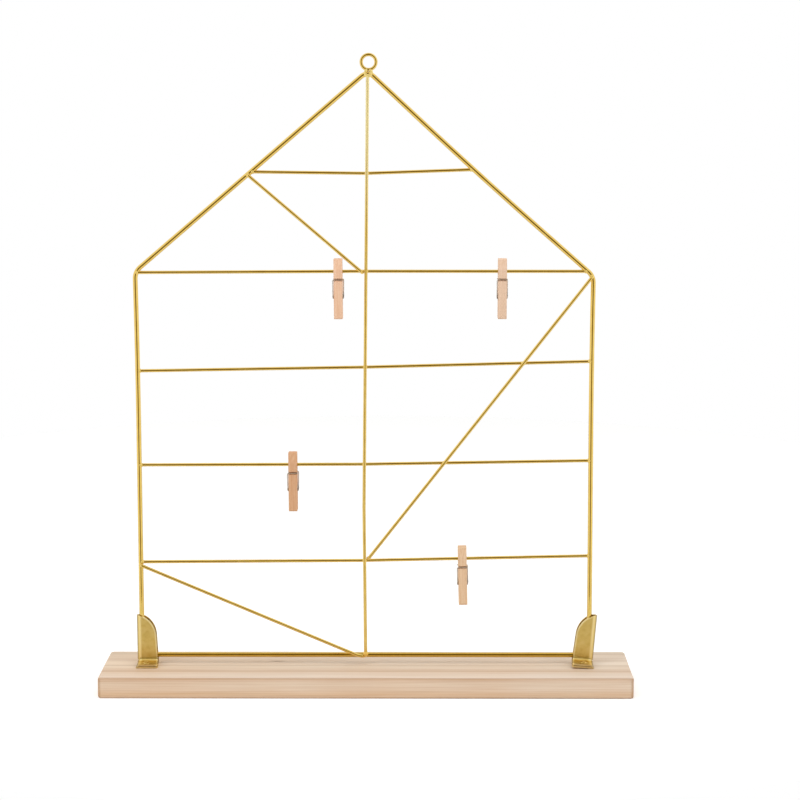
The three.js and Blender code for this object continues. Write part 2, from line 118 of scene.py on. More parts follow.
# Light: an even white room with a dim warm oval in front of the rack, where the camera stands,
# and three soft boxes that polished metal doesn't mirror
room = {
    "ambient": 0.62,
    "dimTone": "#7A660E",  # what polished metal sees in the middle of the oval
    "dimRise": 0.18,  # sine of the oval's height above the horizon
    "dimReach": (0.565, 1.0, 0.88),  # its half width, depth and half height as sines
    "dimPinch": 0.5,  # how far the oval is drawn in on its slants: 0 is an ellipse, 1 a diamond
    "dimFade": (0.72, 1.16),  # where it starts to lift and where the room is fully white, in half sizes
}
softBoxes = {
    "leftBox": {"place": (-1.25, -0.8, 1.0), "size": (0.6, 1.3), "power": 6.0},
    "rightBox": {"place": (1.25, -0.7, 1.0), "size": (0.6, 1.3), "power": 5.0},
    "topBox": {"place": (-0.1, -0.45, 1.75), "size": (1.3, 1.1), "power": 6.5},
}
softBoxAim = np.array([0.0, 0.0, 0.16])


def makeRoom():
    # camera and transmission rays see plain white, mirror rays the white room with its oval, and the
    # rest the ambient level
    world = bpy.data.worlds.new("whiteRoom")
    scene.world = world
    world.use_nodes = True
    tree = world.node_tree
    tree.nodes.clear()
    ray = addNode(tree, "ShaderNodeLightPath")
    direction = addNode(tree, "ShaderNodeTexCoord")
    wide, deep, high = room["dimReach"]
    oval = addNode(tree, "ShaderNodeMapping", {},
                   {"Vector": direction.outputs["Generated"], "Scale": (1 / wide, 1 / deep, 1 / high),
                    "Location": (0.0, 1 / deep, -room["dimRise"] / high)})
    # the reach is the root of x, y and z squared, with twice the pinch times x times z added
    squares = addNode(tree, "ShaderNodeVectorMath", {"operation": "DOT_PRODUCT"},
                      {0: oval.outputs["Vector"], 1: oval.outputs["Vector"]})
    parts = addNode(tree, "ShaderNodeSeparateXYZ", {}, {0: oval.outputs["Vector"]})
    slant = addNode(tree, "ShaderNodeMath", {"operation": "MULTIPLY"},
                    {0: parts.outputs["X"], 1: parts.outputs["Z"]})
    slanted = addNode(tree, "ShaderNodeMath", {"operation": "ABSOLUTE"}, {0: slant.outputs[0]})
    summed = addNode(tree, "ShaderNodeMath", {"operation": "MULTIPLY_ADD"},
                     {0: slanted.outputs[0], 1: 2 * room["dimPinch"], 2: squares.outputs["Value"]})
    reach = addNode(tree, "ShaderNodeMath", {"operation": "SQRT"}, {0: summed.outputs[0]})
    dimmest, clear = room["dimFade"]
    lit = addNode(tree, "ShaderNodeMapRange", {"interpolation_type": "SMOOTHSTEP"},
                  {"Value": reach.outputs[0], "From Min": dimmest, "From Max": clear})
    tone = addNode(tree, "ShaderNodeMix", {"data_type": "RGBA"},
                   {0: lit.outputs["Result"], 6: linearOf(room["dimTone"]), 7: white})
    shown = addNode(tree, "ShaderNodeBackground", {}, {"Color": white, "Strength": room["ambient"]})
    mirrored = addNode(tree, "ShaderNodeBackground", {}, {"Color": tone.outputs[2], "Strength": 1.0})
    seen = addNode(tree, "ShaderNodeBackground", {}, {"Color": white, "Strength": 1.0})
    for kind, light in (("Glossy", mirrored), ("Transmission", seen), ("Camera", seen)):
        shown = addNode(tree, "ShaderNodeMixShader", {},
                        {0: ray.outputs["Is %s Ray" % kind], 1: shown.outputs[0], 2: light.outputs[0]})
    addNode(tree, "ShaderNodeOutputWorld", {}, {"Surface": shown.outputs[0]})


def makeSoftBox(name, place, size, power):
    # a flat lamp at its place, turned to look at the aim
    lamp = bpy.data.lights.new(name, "AREA")
    lamp.shape = "RECTANGLE"
    lamp.size, lamp.size_y = size
    lamp.energy = power
    box = bpy.data.objects.new(name, lamp)
    box.location = place
    box.visible_glossy = False
    box.rotation_euler = Vector(softBoxAim - np.array(place)).to_track_quat("-Z", "Y").to_euler()
    scene.collection.objects.link(box)


makeRoom()
for boxName, softBox in softBoxes.items():
    makeSoftBox(boxName, **softBox)
print("stage: camera and light made")


# Shapes: each is a dictionary of points, faces and the place of each point in its own straightened stock
def gridQuads(rows, columns, wrap, loop=False):
    # cells of a grid stored row by row; wrap joins the last column to the first, loop the last row
    row = np.arange(rows if loop else rows - 1)[:, None]
    column = np.arange(columns if wrap else columns - 1)[None, :]
    right = (column + 1) % columns
    below = (row + 1) % rows
    corners = [row * columns + column, row * columns + right,
               below * columns + right, below * columns + column]
    return np.stack(np.broadcast_arrays(*corners), -1).reshape(-1, 4)


def poleFaces(rows, columns, flip=False):
    # rings joined by quads, and a fan of triangles to a pole at either end; the poles follow the rings
    ring = np.arange(columns)
    after = (ring + 1) % columns
    quads = gridQuads(rows, columns, True)
    if flip:
        ring, after, quads = after, ring, quads[:, ::-1]
    last = (rows - 1) * columns
    pole = np.full(columns, rows * columns)
    return [quads, np.stack([pole, after, ring], -1), np.stack([pole + 1, last + ring, last + after], -1)]


def cappedShape(grid, flip=False, offset=0.0):
    # rings joined by quads, and one flat face at either end; a place is the point moved by the offset
    rows, columns = grid.shape[:2]
    ring = np.arange(columns)[None]
    faces = [gridQuads(rows, columns, True), ring[:, ::-1], (rows - 1) * columns + ring]
    if flip:
        faces = [group[:, ::-1] for group in faces]
    points = grid.reshape(-1, 3)
    return {"points": points, "faces": faces, "place": points + offset}


def joinShapes(shapes):
    # all points in one list, with each shape's faces counted on from the points before it
    starts = np.cumsum([0] + [len(s["points"]) for s in shapes[:-1]])
    return {
        "points": np.concatenate([s["points"] for s in shapes]),
        "place": np.concatenate([s["place"] for s in shapes]),
        "faces": [group + start for s, start in zip(shapes, starts) for group in s["faces"]],
    }


def makePiece(name, shape, material, body=None, nodes=()):
    # the shape in metres, then what it rides on and the nodes it stands for
    mesh = bpy.data.meshes.new(name)
    faces = [face for group in shape["faces"] for face in group.tolist()]
    mesh.from_pydata((shape["points"] * mm).tolist(), [], faces)
    mesh.polygons.foreach_set("use_smooth", np.ones(len(mesh.polygons), bool))
    stock = mesh.attributes.new("stockPlace", "FLOAT_VECTOR", "POINT")
    stock.data.foreach_set("vector", shape["place"].astype(np.float32).ravel())
    mesh.materials.append(material)
    mesh.update()
    piece = bpy.data.objects.new(name, mesh)
    scene.collection.objects.link(piece)
    if body:
        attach(piece, body)
    if nodes:
        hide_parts(*nodes)
    return piece


def bendPath(corners, radii, steps):
    # straight runs joined by circular arcs: each arc weighs its two end radii by the sines of the angles
    # left and gone
    corners = np.asarray(corners, float)
    rows = [corners[:1]]
    for before, corner, after, radius in zip(corners[:-2], corners[1:-1], corners[2:], radii):
        back, ahead = unit(before - corner), unit(after - corner)
        half = np.arccos(np.clip(back @ ahead, -1, 1)) / 2
        centre = corner + unit(back + ahead) * radius / np.sin(half)
        start = corner + back * radius / np.tan(half) - centre
        end = corner + ahead * radius / np.tan(half) - centre
        sweep = np.pi - 2 * half
        turn = np.linspace(0, sweep, steps + 1)[:, None]
        rows.append(centre + (start * np.sin(sweep - turn) + end * np.sin(turn)) / np.sin(sweep))
    rows.append(corners[-1:])
    return np.concatenate(rows)


def travellingFrame(path, tangents):
    # the least-twisting frame: each step mirrors the last normal in the chord, then in the change of tangent
    side = np.cross(tangents[0], [0.0, 1.0, 0.0])
    if np.linalg.norm(side) < 0.1:  # the path starts along y
        side = np.cross(tangents[0], [0.0, 0.0, 1.0])
    normals = [unit(side)]
    for i in range(len(path) - 1):
        chord = path[i + 1] - path[i]
        mirrored = normals[-1] - 2 * chord * (chord @ normals[-1]) / (chord @ chord)
        leaned = tangents[i] - 2 * chord * (chord @ tangents[i]) / (chord @ chord)
        change = tangents[i + 1] - leaned
        if change @ change > 1e-12:  # no second mirror where nothing changes
            mirrored = mirrored - 2 * change * (change @ mirrored) / (change @ change)
        normals.append(unit(mirrored))
    return np.array(normals)


wireEnd = {"edge": 0.3, "rings": 5, "run": 0.4}  # its rounded edge, and from there to the first plain ring


def wireShape(path, radius, sides, edge=wireEnd["edge"], loop=False):
    # a circle carried along a path; open ends are rounded by a quarter circle of the edge radius
    # and closed on a pole
    path = np.asarray(path, float)
    radii = np.full(len(path), float(radius))
    if not loop:
        turn = np.linspace(0, np.pi / 2, wireEnd["rings"])
        inset = np.append(edge * (1 - np.cos(turn)), edge + wireEnd["run"])[:, None]
        small = np.append(radius - edge + edge * np.sin(turn), radius)
        first = path[0] + unit(path[1] - path[0]) * inset
        last = path[-1] + unit(path[-2] - path[-1]) * inset
        path = np.concatenate([first, path[1:-1], last[::-1]])
        radii = np.concatenate([small, radii[1:-1], small[::-1]])
    steps = unit(np.diff(np.concatenate([path, path[:1]]) if loop else path, axis=0))
    if loop:
        tangents = unit(steps + np.roll(steps, 1, axis=0))
    else:
        tangents = unit(np.concatenate([steps[:1], steps[1:] + steps[:-1], steps[-1:]]))
    normal = travellingFrame(path, tangents)
    other = np.cross(tangents, normal)
    angle = np.linspace(0, 2 * np.pi, sides, endpoint=False)
    across, along = np.cos(angle)[None, :, None], np.sin(angle)[None, :, None]
    rings = path[:, None] + radii[:, None, None] * (across * normal[:, None] + along * other[:, None])
    length = np.concatenate([[0], np.cumsum(np.linalg.norm(np.diff(path, axis=0), axis=1))])
    girth = radii[:, None, None] * np.concatenate([across, along], -1)
    run = np.broadcast_to(length[:, None, None], (*girth.shape[:2], 1))
    points, place = rings.reshape(-1, 3), np.concatenate([run, girth], -1).reshape(-1, 3)
    if loop:
        return {"points": points, "faces": [gridQuads(len(path), sides, True, loop)], "place": place}
    points = np.concatenate([points, path[:1], path[-1:]])
    place = np.concatenate([place, [[0, 0, 0], [length[-1], 0, 0]]])
    return {"points": points, "faces": poleFaces(len(path), sides), "place": place}


# Patterns that several materials share
def startMaterial(name):
    # a material with an empty tree
    material = bpy.data.materials.new(name)
    material.use_nodes = True
    material.node_tree.nodes.clear()
    return material, material.node_tree


def finishMaterial(material, colour, sockets):
    # the shader takes its colour and the other sockets, and the output takes the shader
    tree = material.node_tree
    surface = addNode(tree, "ShaderNodeBsdfPrincipled", {}, {"Base Color": colour, **sockets})
    addNode(tree, "ShaderNodeOutputMaterial", {}, {"Surface": surface.outputs["BSDF"]})
    return material


def clouded(tree, place, size, tones, detail):
    # patches of the size, and the colour that drifts with them between the tones
    cloud = addNode(tree, "ShaderNodeTexNoise", {}, {"Vector": place, "Scale": 1 / size, "Detail": detail})
    tone = addNode(tree, "ShaderNodeValToRGB", {}, {"Fac": cloud.outputs["Fac"]}, tones)
    return cloud.outputs["Fac"], tone.outputs["Color"]


def stretchedGrain(tree, place, size, detail):
    # a grain whose marks are as long as the size along each axis
    stretched = addNode(tree, "ShaderNodeMapping", {},
                        {"Vector": place, "Scale": tuple(1 / length for length in size)})
    grain = addNode(tree, "ShaderNodeTexNoise", {},
                    {"Vector": stretched.outputs["Vector"], "Scale": 1.0, "Detail": detail})
    return grain.outputs["Fac"]


def grainFinish(tree, grain, look):
    # the shader's sockets for a grain: roughness runs with it, and the relief is its height
    low, high = look.get("span", (0.0, 1.0))
    least, most = look["roughness"]
    rough = addNode(tree, "ShaderNodeMapRange", {},
                    {"Value": grain, "From Min": low, "From Max": high, "To Min": least, "To Max": most})
    finish = {"Roughness": rough.outputs["Result"]}
    if "relief" in look:
        strength, depth = look["relief"]
        relief = addNode(tree, "ShaderNodeBump", {},
                         {"Height": grain, "Strength": strength, "Distance": depth * mm})
        finish["Normal"] = relief.outputs["Normal"]
    return finish


def shareAlong(tree, place, axis, length):
    # how far a place lies along one axis, as a share of the length
    parts = addNode(tree, "ShaderNodeSeparateXYZ", {}, {0: place})
    share = addNode(tree, "ShaderNodeMath", {"operation": "DIVIDE"}, {0: parts.outputs[axis], 1: length})
    return share.outputs[0]


def tinted(tree, colour, measure, tones):
    # the colour multiplied by the tone that the measure reaches
    tint = addNode(tree, "ShaderNodeValToRGB", {}, {"Fac": measure}, tones)
    mixed = addNode(tree, "ShaderNodeMix", {"data_type": "RGBA", "blend_type": "MULTIPLY"},
                    {0: 1.0, 6: colour, 7: tint.outputs["Color"]})
    return mixed.outputs[2]


# Gold-plated steel wire: drawn through a die, bent, spot welded, then plated and lacquered.
# The eye gets a warm mirror with faint lines along the wire and a slightly cloudy plating.
platedWire = {
    "tones": [(0.3, "#E7C25A"), (0.7, "#F1CF6C")],
    "cloud": 7.0,  # mm across a cloud in the plating
    "drawLine": (18.0, 0.35, 0.35),  # mm long, wide and deep; the real lines are finer and would not show
    "span": (0.3, 0.7),  # the part of the lines' noise that the roughness runs over
    "bright": (0.07, 0.13),  # roughness of the polished wires
    "dull": (0.30, 0.38),  # and of the upright, which is drawn from duller stock
    "relief": (0.5, 0.0015),  # strength of the lines, and mm deep
    # painted highlight: the upright's paler top by the weld, and its duller top, as shares of its length
    "scorch": {"tone": "#FFF0B4", "mask": [(0.74, "#000000"), (0.90, "#FFFFFF")],
               "length": 352.0, "duller": 0.3},
    # painted shade: the frame's wire darker along its foot, over the board, as shares of a height
    "foot": {"tones": [(0.80, "#E0D79E"), (0.90, "#FFFFFF")], "height": 24.0},
}


def makePlatedWire(name, roughness, highlightedTop=False, shadedFoot=False):
    material, tree = startMaterial(name)
    stock = addNode(tree, "ShaderNodeAttribute", {"attribute_name": "stockPlace"}).outputs["Vector"]
    colour = clouded(tree, stock, platedWire["cloud"], platedWire["tones"], detail=3.0)[1]
    lines = stretchedGrain(tree, stock, platedWire["drawLine"], detail=2.0)
    finish = grainFinish(tree, lines, {**platedWire, "roughness": roughness})
    # the upright's paler top is a painted highlight
    if highlightedTop:
        scorch = platedWire["scorch"]
        share = shareAlong(tree, stock, "X", scorch["length"])
        mask = addNode(tree, "ShaderNodeValToRGB", {}, {"Fac": share}, scorch["mask"])
        mixed = addNode(tree, "ShaderNodeMix", {"data_type": "RGBA"},
                        {0: mask.outputs["Color"], 6: colour, 7: linearOf(scorch["tone"])})
        duller = addNode(tree, "ShaderNodeMath", {"operation": "MULTIPLY_ADD"},
                         {0: mask.outputs["Color"], 1: scorch["duller"], 2: finish["Roughness"]})
        colour, finish["Roughness"] = mixed.outputs[2], duller.outputs[0]
    # painted shade along the frame's foot
    if shadedFoot:
        foot = platedWire["foot"]
        spot = addNode(tree, "ShaderNodeTexCoord").outputs["Object"]
        colour = tinted(tree, colour, shareAlong(tree, spot, "Z", foot["height"] * mm), foot["tones"])
    return finishMaterial(material, colour, {**finish, "Metallic": 1.0, "Coat Weight": 1.0})


# Gold-plated weld metal: melted, set and plated, so it is satin; painted paler at the apex, deeper at the
# foot.
weldMetal = {
    # painted highlight: the lumps are paler than the wire, with painted light by height, palest at the apex
    "tones": [(0.06, "#FFDF7E"), (0.2, "#FFE690"), (0.9, "#FFE896"), (0.96, "#FFEDA4")],
    "height": 382.0,  # mm, the tones' whole scale
    "roughness": 0.7,
}


def makeWeldMetal():
    material, tree = startMaterial("goldPlatedWeld")
    spot = addNode(tree, "ShaderNodeTexCoord").outputs["Object"]
    level = shareAlong(tree, spot, "Z", weldMetal["height"] * mm)
    tone = addNode(tree, "ShaderNodeValToRGB", {}, {"Fac": level}, weldMetal["tones"])
    return finishMaterial(material, tone.outputs["Color"],
                          {"Metallic": 1.0, "Roughness": weldMetal["roughness"]})


# Gold-plated sheet steel: blanked, folded and plated, with a satin face and a mottled tone.
platedSheet = {
    "tones": [(0.28, "#DDBC66"), (0.5, "#E8CA78"), (0.74, "#EDD186")],
    "mottle": 4.0,  # mm across a patch
    "brushLine": (0.25, 0.25, 9.0),  # mm wide, deep and long; the real lines are finer
    "span": (0.3, 0.7),  # the part of the lines' noise that the roughness runs over
    "roughness": (0.36, 0.44),
    "relief": (0.4, 0.006),  # strength of the lines, and mm deep
    "foldScale": 4.0,  # mm from the fold's side, of which the next two masks are shares
    # painted shade: a darker strip along the fold's outer side, on its front half
    "worn": ("#B29A68", [(0.15, "#FFFFFF"), (0.24, "#FFFFFF"), (0.38, "#000000")]),
    # painted highlight: a paler band on the fold, just in from the painted shade
    "burnished": ("#F8E09C", [(0.36, "#000000"), (0.50, "#FFFFFF"), (0.66, "#FFFFFF"), (0.82, "#000000")]),
    "wornFront": (-1.2, 0.8),  # mm forward, from none of the painted shade to all of it
    # painted highlight: a paler line along the front cheek's free edge, in mm in from that edge
    "freeEdge": ("#FFE9A6", [(0.0, "#FFFFFF"), (0.50, "#FFFFFF"), (0.92, "#000000")]),
    "cutFrom": 11.6,  # mm forward, from where the next mask is counted in mm
    "cutFront": ("#E2CE98", [(0.40, "#000000"), (0.52, "#FFFFFF")]),
}


def makePlatedSheet():
    material, tree = startMaterial("goldPlatedSheetSteel")
    spot = addNode(tree, "ShaderNodeTexCoord").outputs["Object"]
    colour = clouded(tree, spot, platedSheet["mottle"] * mm, platedSheet["tones"], detail=4.0)[1]
    lines = stretchedGrain(tree, spot, np.array(platedSheet["brushLine"]) * mm, detail=2.0)
    stock = addNode(tree, "ShaderNodeAttribute", {"attribute_name": "stockPlace"}).outputs["Vector"]
    fold = shareAlong(tree, stock, "X", platedSheet["foldScale"])
    blank = addNode(tree, "ShaderNodeSeparateXYZ", {}, {0: stock})
    cut = addNode(tree, "ShaderNodeMath", {"operation": "SUBTRACT"},
                  {0: blank.outputs["Z"], 1: platedSheet["cutFrom"]})
    none, full = platedSheet["wornFront"]
    front = addNode(tree, "ShaderNodeMapRange", {},
                    {"Value": blank.outputs["Z"], "From Min": none, "From Max": full})
    measures = {"worn": fold, "burnished": fold, "freeEdge": blank.outputs["Y"], "cutFront": cut.outputs[0]}
    # mixed in: the fold's painted shade and painted highlight, the free edge's painted highlight and the cut
    # front's tone
    for name, measure in measures.items():
        tintAndPaintedLight, stops = platedSheet[name]
        mask = addNode(tree, "ShaderNodeValToRGB", {}, {"Fac": measure}, stops)
        amount = mask.outputs["Color"]
        if name == "worn":
            both = addNode(tree, "ShaderNodeMath", {"operation": "MULTIPLY"},
                           {0: amount, 1: front.outputs["Result"]})
            amount = both.outputs[0]
        mixed = addNode(tree, "ShaderNodeMix", {"data_type": "RGBA"},
                        {0: amount, 6: colour, 7: linearOf(tintAndPaintedLight)})
        colour = mixed.outputs[2]
    return finishMaterial(material, colour, {**grainFinish(tree, lines, platedSheet), "Metallic": 1.0})


# Brass-plated screw steel: turned and tumbled, so its tone and its shine are slightly patchy.
platedScrew = {
    "tones": [(0.35, "#C9A24E"), (0.65, "#E6C678")],
    "patch": 1.2,  # mm across
    "roughness": (0.22, 0.36),
}


def makePlatedScrew():
    material, tree = startMaterial("brassPlatedScrewSteel")
    spot = addNode(tree, "ShaderNodeTexCoord").outputs["Object"]
    patches, colour = clouded(tree, spot, platedScrew["patch"] * mm, platedScrew["tones"], detail=3.0)
    return finishMaterial(material, colour, {**grainFinish(tree, patches, platedScrew), "Metallic": 1.0})


# Zinc-plated spring wire: cold drawn and coiled, grey with a dull shine and lines along the wire.
# It is painted darker brown in the coil and at the bars, as painted shade where they sit in the legs and the
# groove, and left bright on the arms.
zincWire = {
    "tones": [(0.3, "#E0DCD8"), (0.7, "#F8F5F2")],
    "cloud": 2.5,  # mm across a cloud in the plating
    "drawLine": (6.0, 0.2, 0.2),  # mm long, wide and deep; the real lines are finer
    "roughness": (0.52, 0.66),
    "stain": [(0.0, "#B8AA9E"), (0.55, "#B8AA9E"), (0.61, "#FFFFFF"), (0.80, "#FFFFFF"), (0.85, "#D2C0AE")],
    "reach": 40.0,  # mm from the middle of the wire, the painted shade's whole scale
}


def makeZincWire():
    material, tree = startMaterial("zincPlatedSpringWire")
    stock = addNode(tree, "ShaderNodeAttribute", {"attribute_name": "stockPlace"}).outputs["Vector"]
    tone = clouded(tree, stock, zincWire["cloud"], zincWire["tones"], detail=3.0)[1]
    share = shareAlong(tree, stock, "X", zincWire["reach"])
    away = addNode(tree, "ShaderNodeMath", {"operation": "ABSOLUTE"}, {0: share})
    # painted shade in the coil and at the bars
    colour = tinted(tree, tone, away.outputs[0], zincWire["stain"])
    lines = stretchedGrain(tree, stock, zincWire["drawLine"], detail=2.0)
    return finishMaterial(material, colour, {**grainFinish(tree, lines, zincWire), "Metallic": 1.0})


# Pine: quarter-sawn, planed and sanded, left bare. The year rings are circles round a pith behind and
# a little below the board, so they run along the top as lines, lie nearly flat in the front and cross
# the ends as arcs. A late-wood line closes each pale year and the years are uneven. The sides are toned
# by height: pinker under the arris as painted shade, pale in the middle, more orange towards the base.
# The front arris is painted darker: a painted shadow line along the eased edge.
pine = {
    "pith": (74.0, -14.0),  # mm, y and z of the pith
    "reach": (50.0, 108.0),  # mm from the pith, the years shown
    "wave": (240.0, 40.0, 40.0),  # mm along, across and up one wave of the rings
    "wander": 1.1,  # mm that they wander either way
    # the stops from 0.368 to 0.49 lie on the top under the bottom wire, painted paler: painted light against
    # the wire's shadow
    "years": [(0.0, "#E6D5C0"), (0.135, "#DECDB8"), (0.15, "#ECDBC8"), (0.30, "#EAD9C6"),
              (0.368, "#E8D7C4"), (0.386, "#F4E5D3"), (0.49, "#F0E0CD"), (0.528, "#DCC9B3"),
              (0.548, "#EDDDCA"), (0.61, "#ECDBC8"), (0.70, "#E1CAB3"), (0.735, "#D6BBA0"),
              (0.755, "#E8D4BF"), (0.82, "#EAD8C6"), (0.92, "#F0E1D2")],
    "fibre": (60.0, 0.7, 0.7),  # mm long, wide and deep; the real fibres are finer
    "fibreTones": [(0.3, "#F3EBE2"), (0.62, "#FFFFFF")],
    "blush": 55.0,  # mm across a pinker patch
    "blushTones": [(0.35, "#FFFFFF"), (0.7, "#FFFCF9")],
    "ends": [(0.0, "#FFFAF4"), (1.0, "#FFFFFF")],  # the left end is a little deeper in tone than the right
    # by height; the darker band under the arris is painted shade
    "sides": [(0.0, "#DFCDBB"), (0.10, "#EEDFCE"), (0.20, "#F1E0CB"), (0.30, "#F4E6D5"), (0.42, "#F8F0E7"),
              (0.75, "#F8F3EC"), (0.86, "#F2E7DC"), (0.96, "#EEE0D2"), (0.995, "#FFFFFF")],
    # painted shade: a darker line along the front's eased edges
    "arris": [(0.0, "#FFFFFF"), (0.005, "#DFD3C8"), (0.020, "#DFD3C8"), (0.036, "#FFFFFF")],
    "length": 320.0, "height": 12.4, "depth": 60.0,  # mm, the whole scales of the ends, sides and arris
    # one small streak of resin, fading out from its middle
    "pitch": {"place": (-55.0, 7.6, 12.4), "size": (7.0, 1.0, 2.0),
              "tones": [(0.1, "#8A6843"), (0.95, "#FFFFFF")]},
    "roughness": (0.52, 0.68),
    "relief": (0.6, 0.03),  # strength of the fibres, and mm deep
    "shine": 0.3,
}


def makePine():
    material, tree = startMaterial("sandedPine")
    spot = addNode(tree, "ShaderNodeTexCoord").outputs["Object"]
    drift = stretchedGrain(tree, spot, np.array(pine["wave"]) * mm, detail=2.0)
    shift = addNode(tree, "ShaderNodeMapRange", {},
                    {"Value": drift, "To Min": -pine["wander"], "To Max": pine["wander"]})
    pithY, pithZ = pine["pith"]
    fromPith = addNode(tree, "ShaderNodeMapping", {},
                       {"Vector": spot, "Scale": (0.0, 1 / mm, 1 / mm), "Location": (0.0, -pithY, -pithZ)})
    reach = addNode(tree, "ShaderNodeVectorMath", {"operation": "LENGTH"}, {0: fromPith.outputs["Vector"]})
    moved = addNode(tree, "ShaderNodeMath", {"operation": "ADD"},
                    {0: reach.outputs["Value"], 1: shift.outputs["Result"]})
    first, last = pine["reach"]
    years = addNode(tree, "ShaderNodeMapRange", {},
                    {"Value": moved.outputs[0], "From Min": first, "From Max": last})
    rings = addNode(tree, "ShaderNodeValToRGB", {}, {"Fac": years.outputs["Result"]}, pine["years"])
    fibre = stretchedGrain(tree, spot, np.array(pine["fibre"]) * mm, detail=4.0)
    blush = addNode(tree, "ShaderNodeTexNoise", {},
                    {"Vector": spot, "Scale": 1 / (pine["blush"] * mm), "Detail": 1.0})
    parts = addNode(tree, "ShaderNodeSeparateXYZ", {}, {0: spot})
    along, back = (
        addNode(tree, "ShaderNodeMapRange", {},
                {"Value": parts.outputs[axis], "From Min": -size / 2 * mm, "From Max": size / 2 * mm})
        for axis, size in (("X", pine["length"]), ("Y", pine["depth"])))
    height = shareAlong(tree, spot, "Z", pine["height"] * mm)
    pitch = pine["pitch"]
    near = addNode(tree, "ShaderNodeMapping", {"vector_type": "TEXTURE"},
                   {"Vector": spot, "Location": [v * mm for v in pitch["place"]],
                    "Scale": [v * mm for v in pitch["size"]]})
    gone = addNode(tree, "ShaderNodeVectorMath", {"operation": "LENGTH"}, {0: near.outputs["Vector"]})
    colour = rings.outputs["Color"]
    for measure, tones in ((fibre, pine["fibreTones"]), (blush.outputs["Fac"], pine["blushTones"]),
                           (along.outputs["Result"], pine["ends"]), (height, pine["sides"]),
                           (back.outputs["Result"], pine["arris"]), (gone.outputs["Value"], pitch["tones"])):
        colour = tinted(tree, colour, measure, tones)
    return finishMaterial(material, colour,
                          {**grainFinish(tree, fibre, pine), "Specular IOR Level": pine["shine"]})


# Birch: sawn into strips and tumbled smooth, left bare. Fine straight fibres run along the leg,
# with short darker flecks.
birch = {
    # pale and deep, a pair for each peg
    "tones": [("#FED5B5", "#F4C29D"), ("#F9D7BC", "#ECC6A5"),
              ("#E7B991", "#DAA276"), ("#F0CEAA", "#E3B990")],
    "toneSpan": (0.32, 0.66),  # where the fibres' noise is fully deep and fully pale
    "fibre": (0.64, 0.64, 22.0),  # mm wide, deep and long
    "fleck": (0.22, 0.22, 1.6),
    "fleckTones": [(0.66, "#FFFFFF"), (0.76, "#E3CDB6")],
    "roughness": (0.55, 0.72),
    "relief": (0.6, 0.025),  # strength of the fibres, and mm deep
    "shine": 0.3,
}


def makeBirch(index):
    material, tree = startMaterial("tumbledBirch%d" % (index + 1))
    stock = addNode(tree, "ShaderNodeAttribute", {"attribute_name": "stockPlace"}).outputs["Vector"]
    fibre = stretchedGrain(tree, stock, birch["fibre"], detail=4.0)
    fleck = stretchedGrain(tree, stock, birch["fleck"], detail=1.0)
    pale, deep = birch["tones"][index]
    low, high = birch["toneSpan"]
    tone = addNode(tree, "ShaderNodeValToRGB", {}, {"Fac": fibre}, [(low, deep), (high, pale)])
    colour = tinted(tree, tone.outputs["Color"], fleck, birch["fleckTones"])
    return finishMaterial(material, colour,
                          {**grainFinish(tree, fibre, birch), "Specular IOR Level": birch["shine"]})


wireGold = makePlatedWire("goldPlatedSteelWire", platedWire["bright"])
frameGold = makePlatedWire("goldPlatedFrameWire", platedWire["bright"], shadedFoot=True)
dullGold = makePlatedWire("dullGoldPlatedSteelWire", platedWire["dull"], highlightedTop=True)
weldGold = makeWeldMetal()
sheetGold = makePlatedSheet()
screwBrass = makePlatedScrew()
springZinc = makeZincWire()
boardPine = makePine()
print("stage: materials made")

# Floor: a round of white paper that takes the shadow; what the camera sees of it is lifted to white
floorPaper = {
    "radius": 0.62, "back": 0.4, "drop": 0.00005,  # metres
    "sides": 96,
    "tones": [(0.3, "#F4F4F3"), (0.7, "#F7F7F6")],
    "fibre": 2.0,  # mm across a patch
    "roughness": 0.9,
    "lift": 0.28,
}


def makeFloor():
    # one face, its rim a circle
    angle = np.linspace(0, 2 * np.pi, floorPaper["sides"], endpoint=False)
    rim = np.stack([np.cos(angle), np.sin(angle), 0 * angle], -1) * floorPaper["radius"]
    rim += [0.0, floorPaper["back"], -floorPaper["drop"]]
    mesh = bpy.data.meshes.new("floorPaper")
    mesh.from_pydata(rim.tolist(), [], [list(range(len(rim)))])
    material, tree = startMaterial("whitePaper")
    spot = addNode(tree, "ShaderNodeTexCoord").outputs["Object"]
    colour = clouded(tree, spot, floorPaper["fibre"] * mm, floorPaper["tones"], detail=2.0)[1]
    ray = addNode(tree, "ShaderNodeLightPath")
    lift = addNode(tree, "ShaderNodeMath", {"operation": "MULTIPLY"},
                   {0: ray.outputs["Is Camera Ray"], 1: floorPaper["lift"]})
    finishMaterial(material, colour, {"Roughness": floorPaper["roughness"], "Specular IOR Level": 0.0,
                                      "Emission Color": white, "Emission Strength": lift.outputs[0]})
    mesh.materials.append(material)
    floor = bpy.data.objects.new("floorPaper", mesh)
    scene.collection.objects.link(floor)


makeFloor()

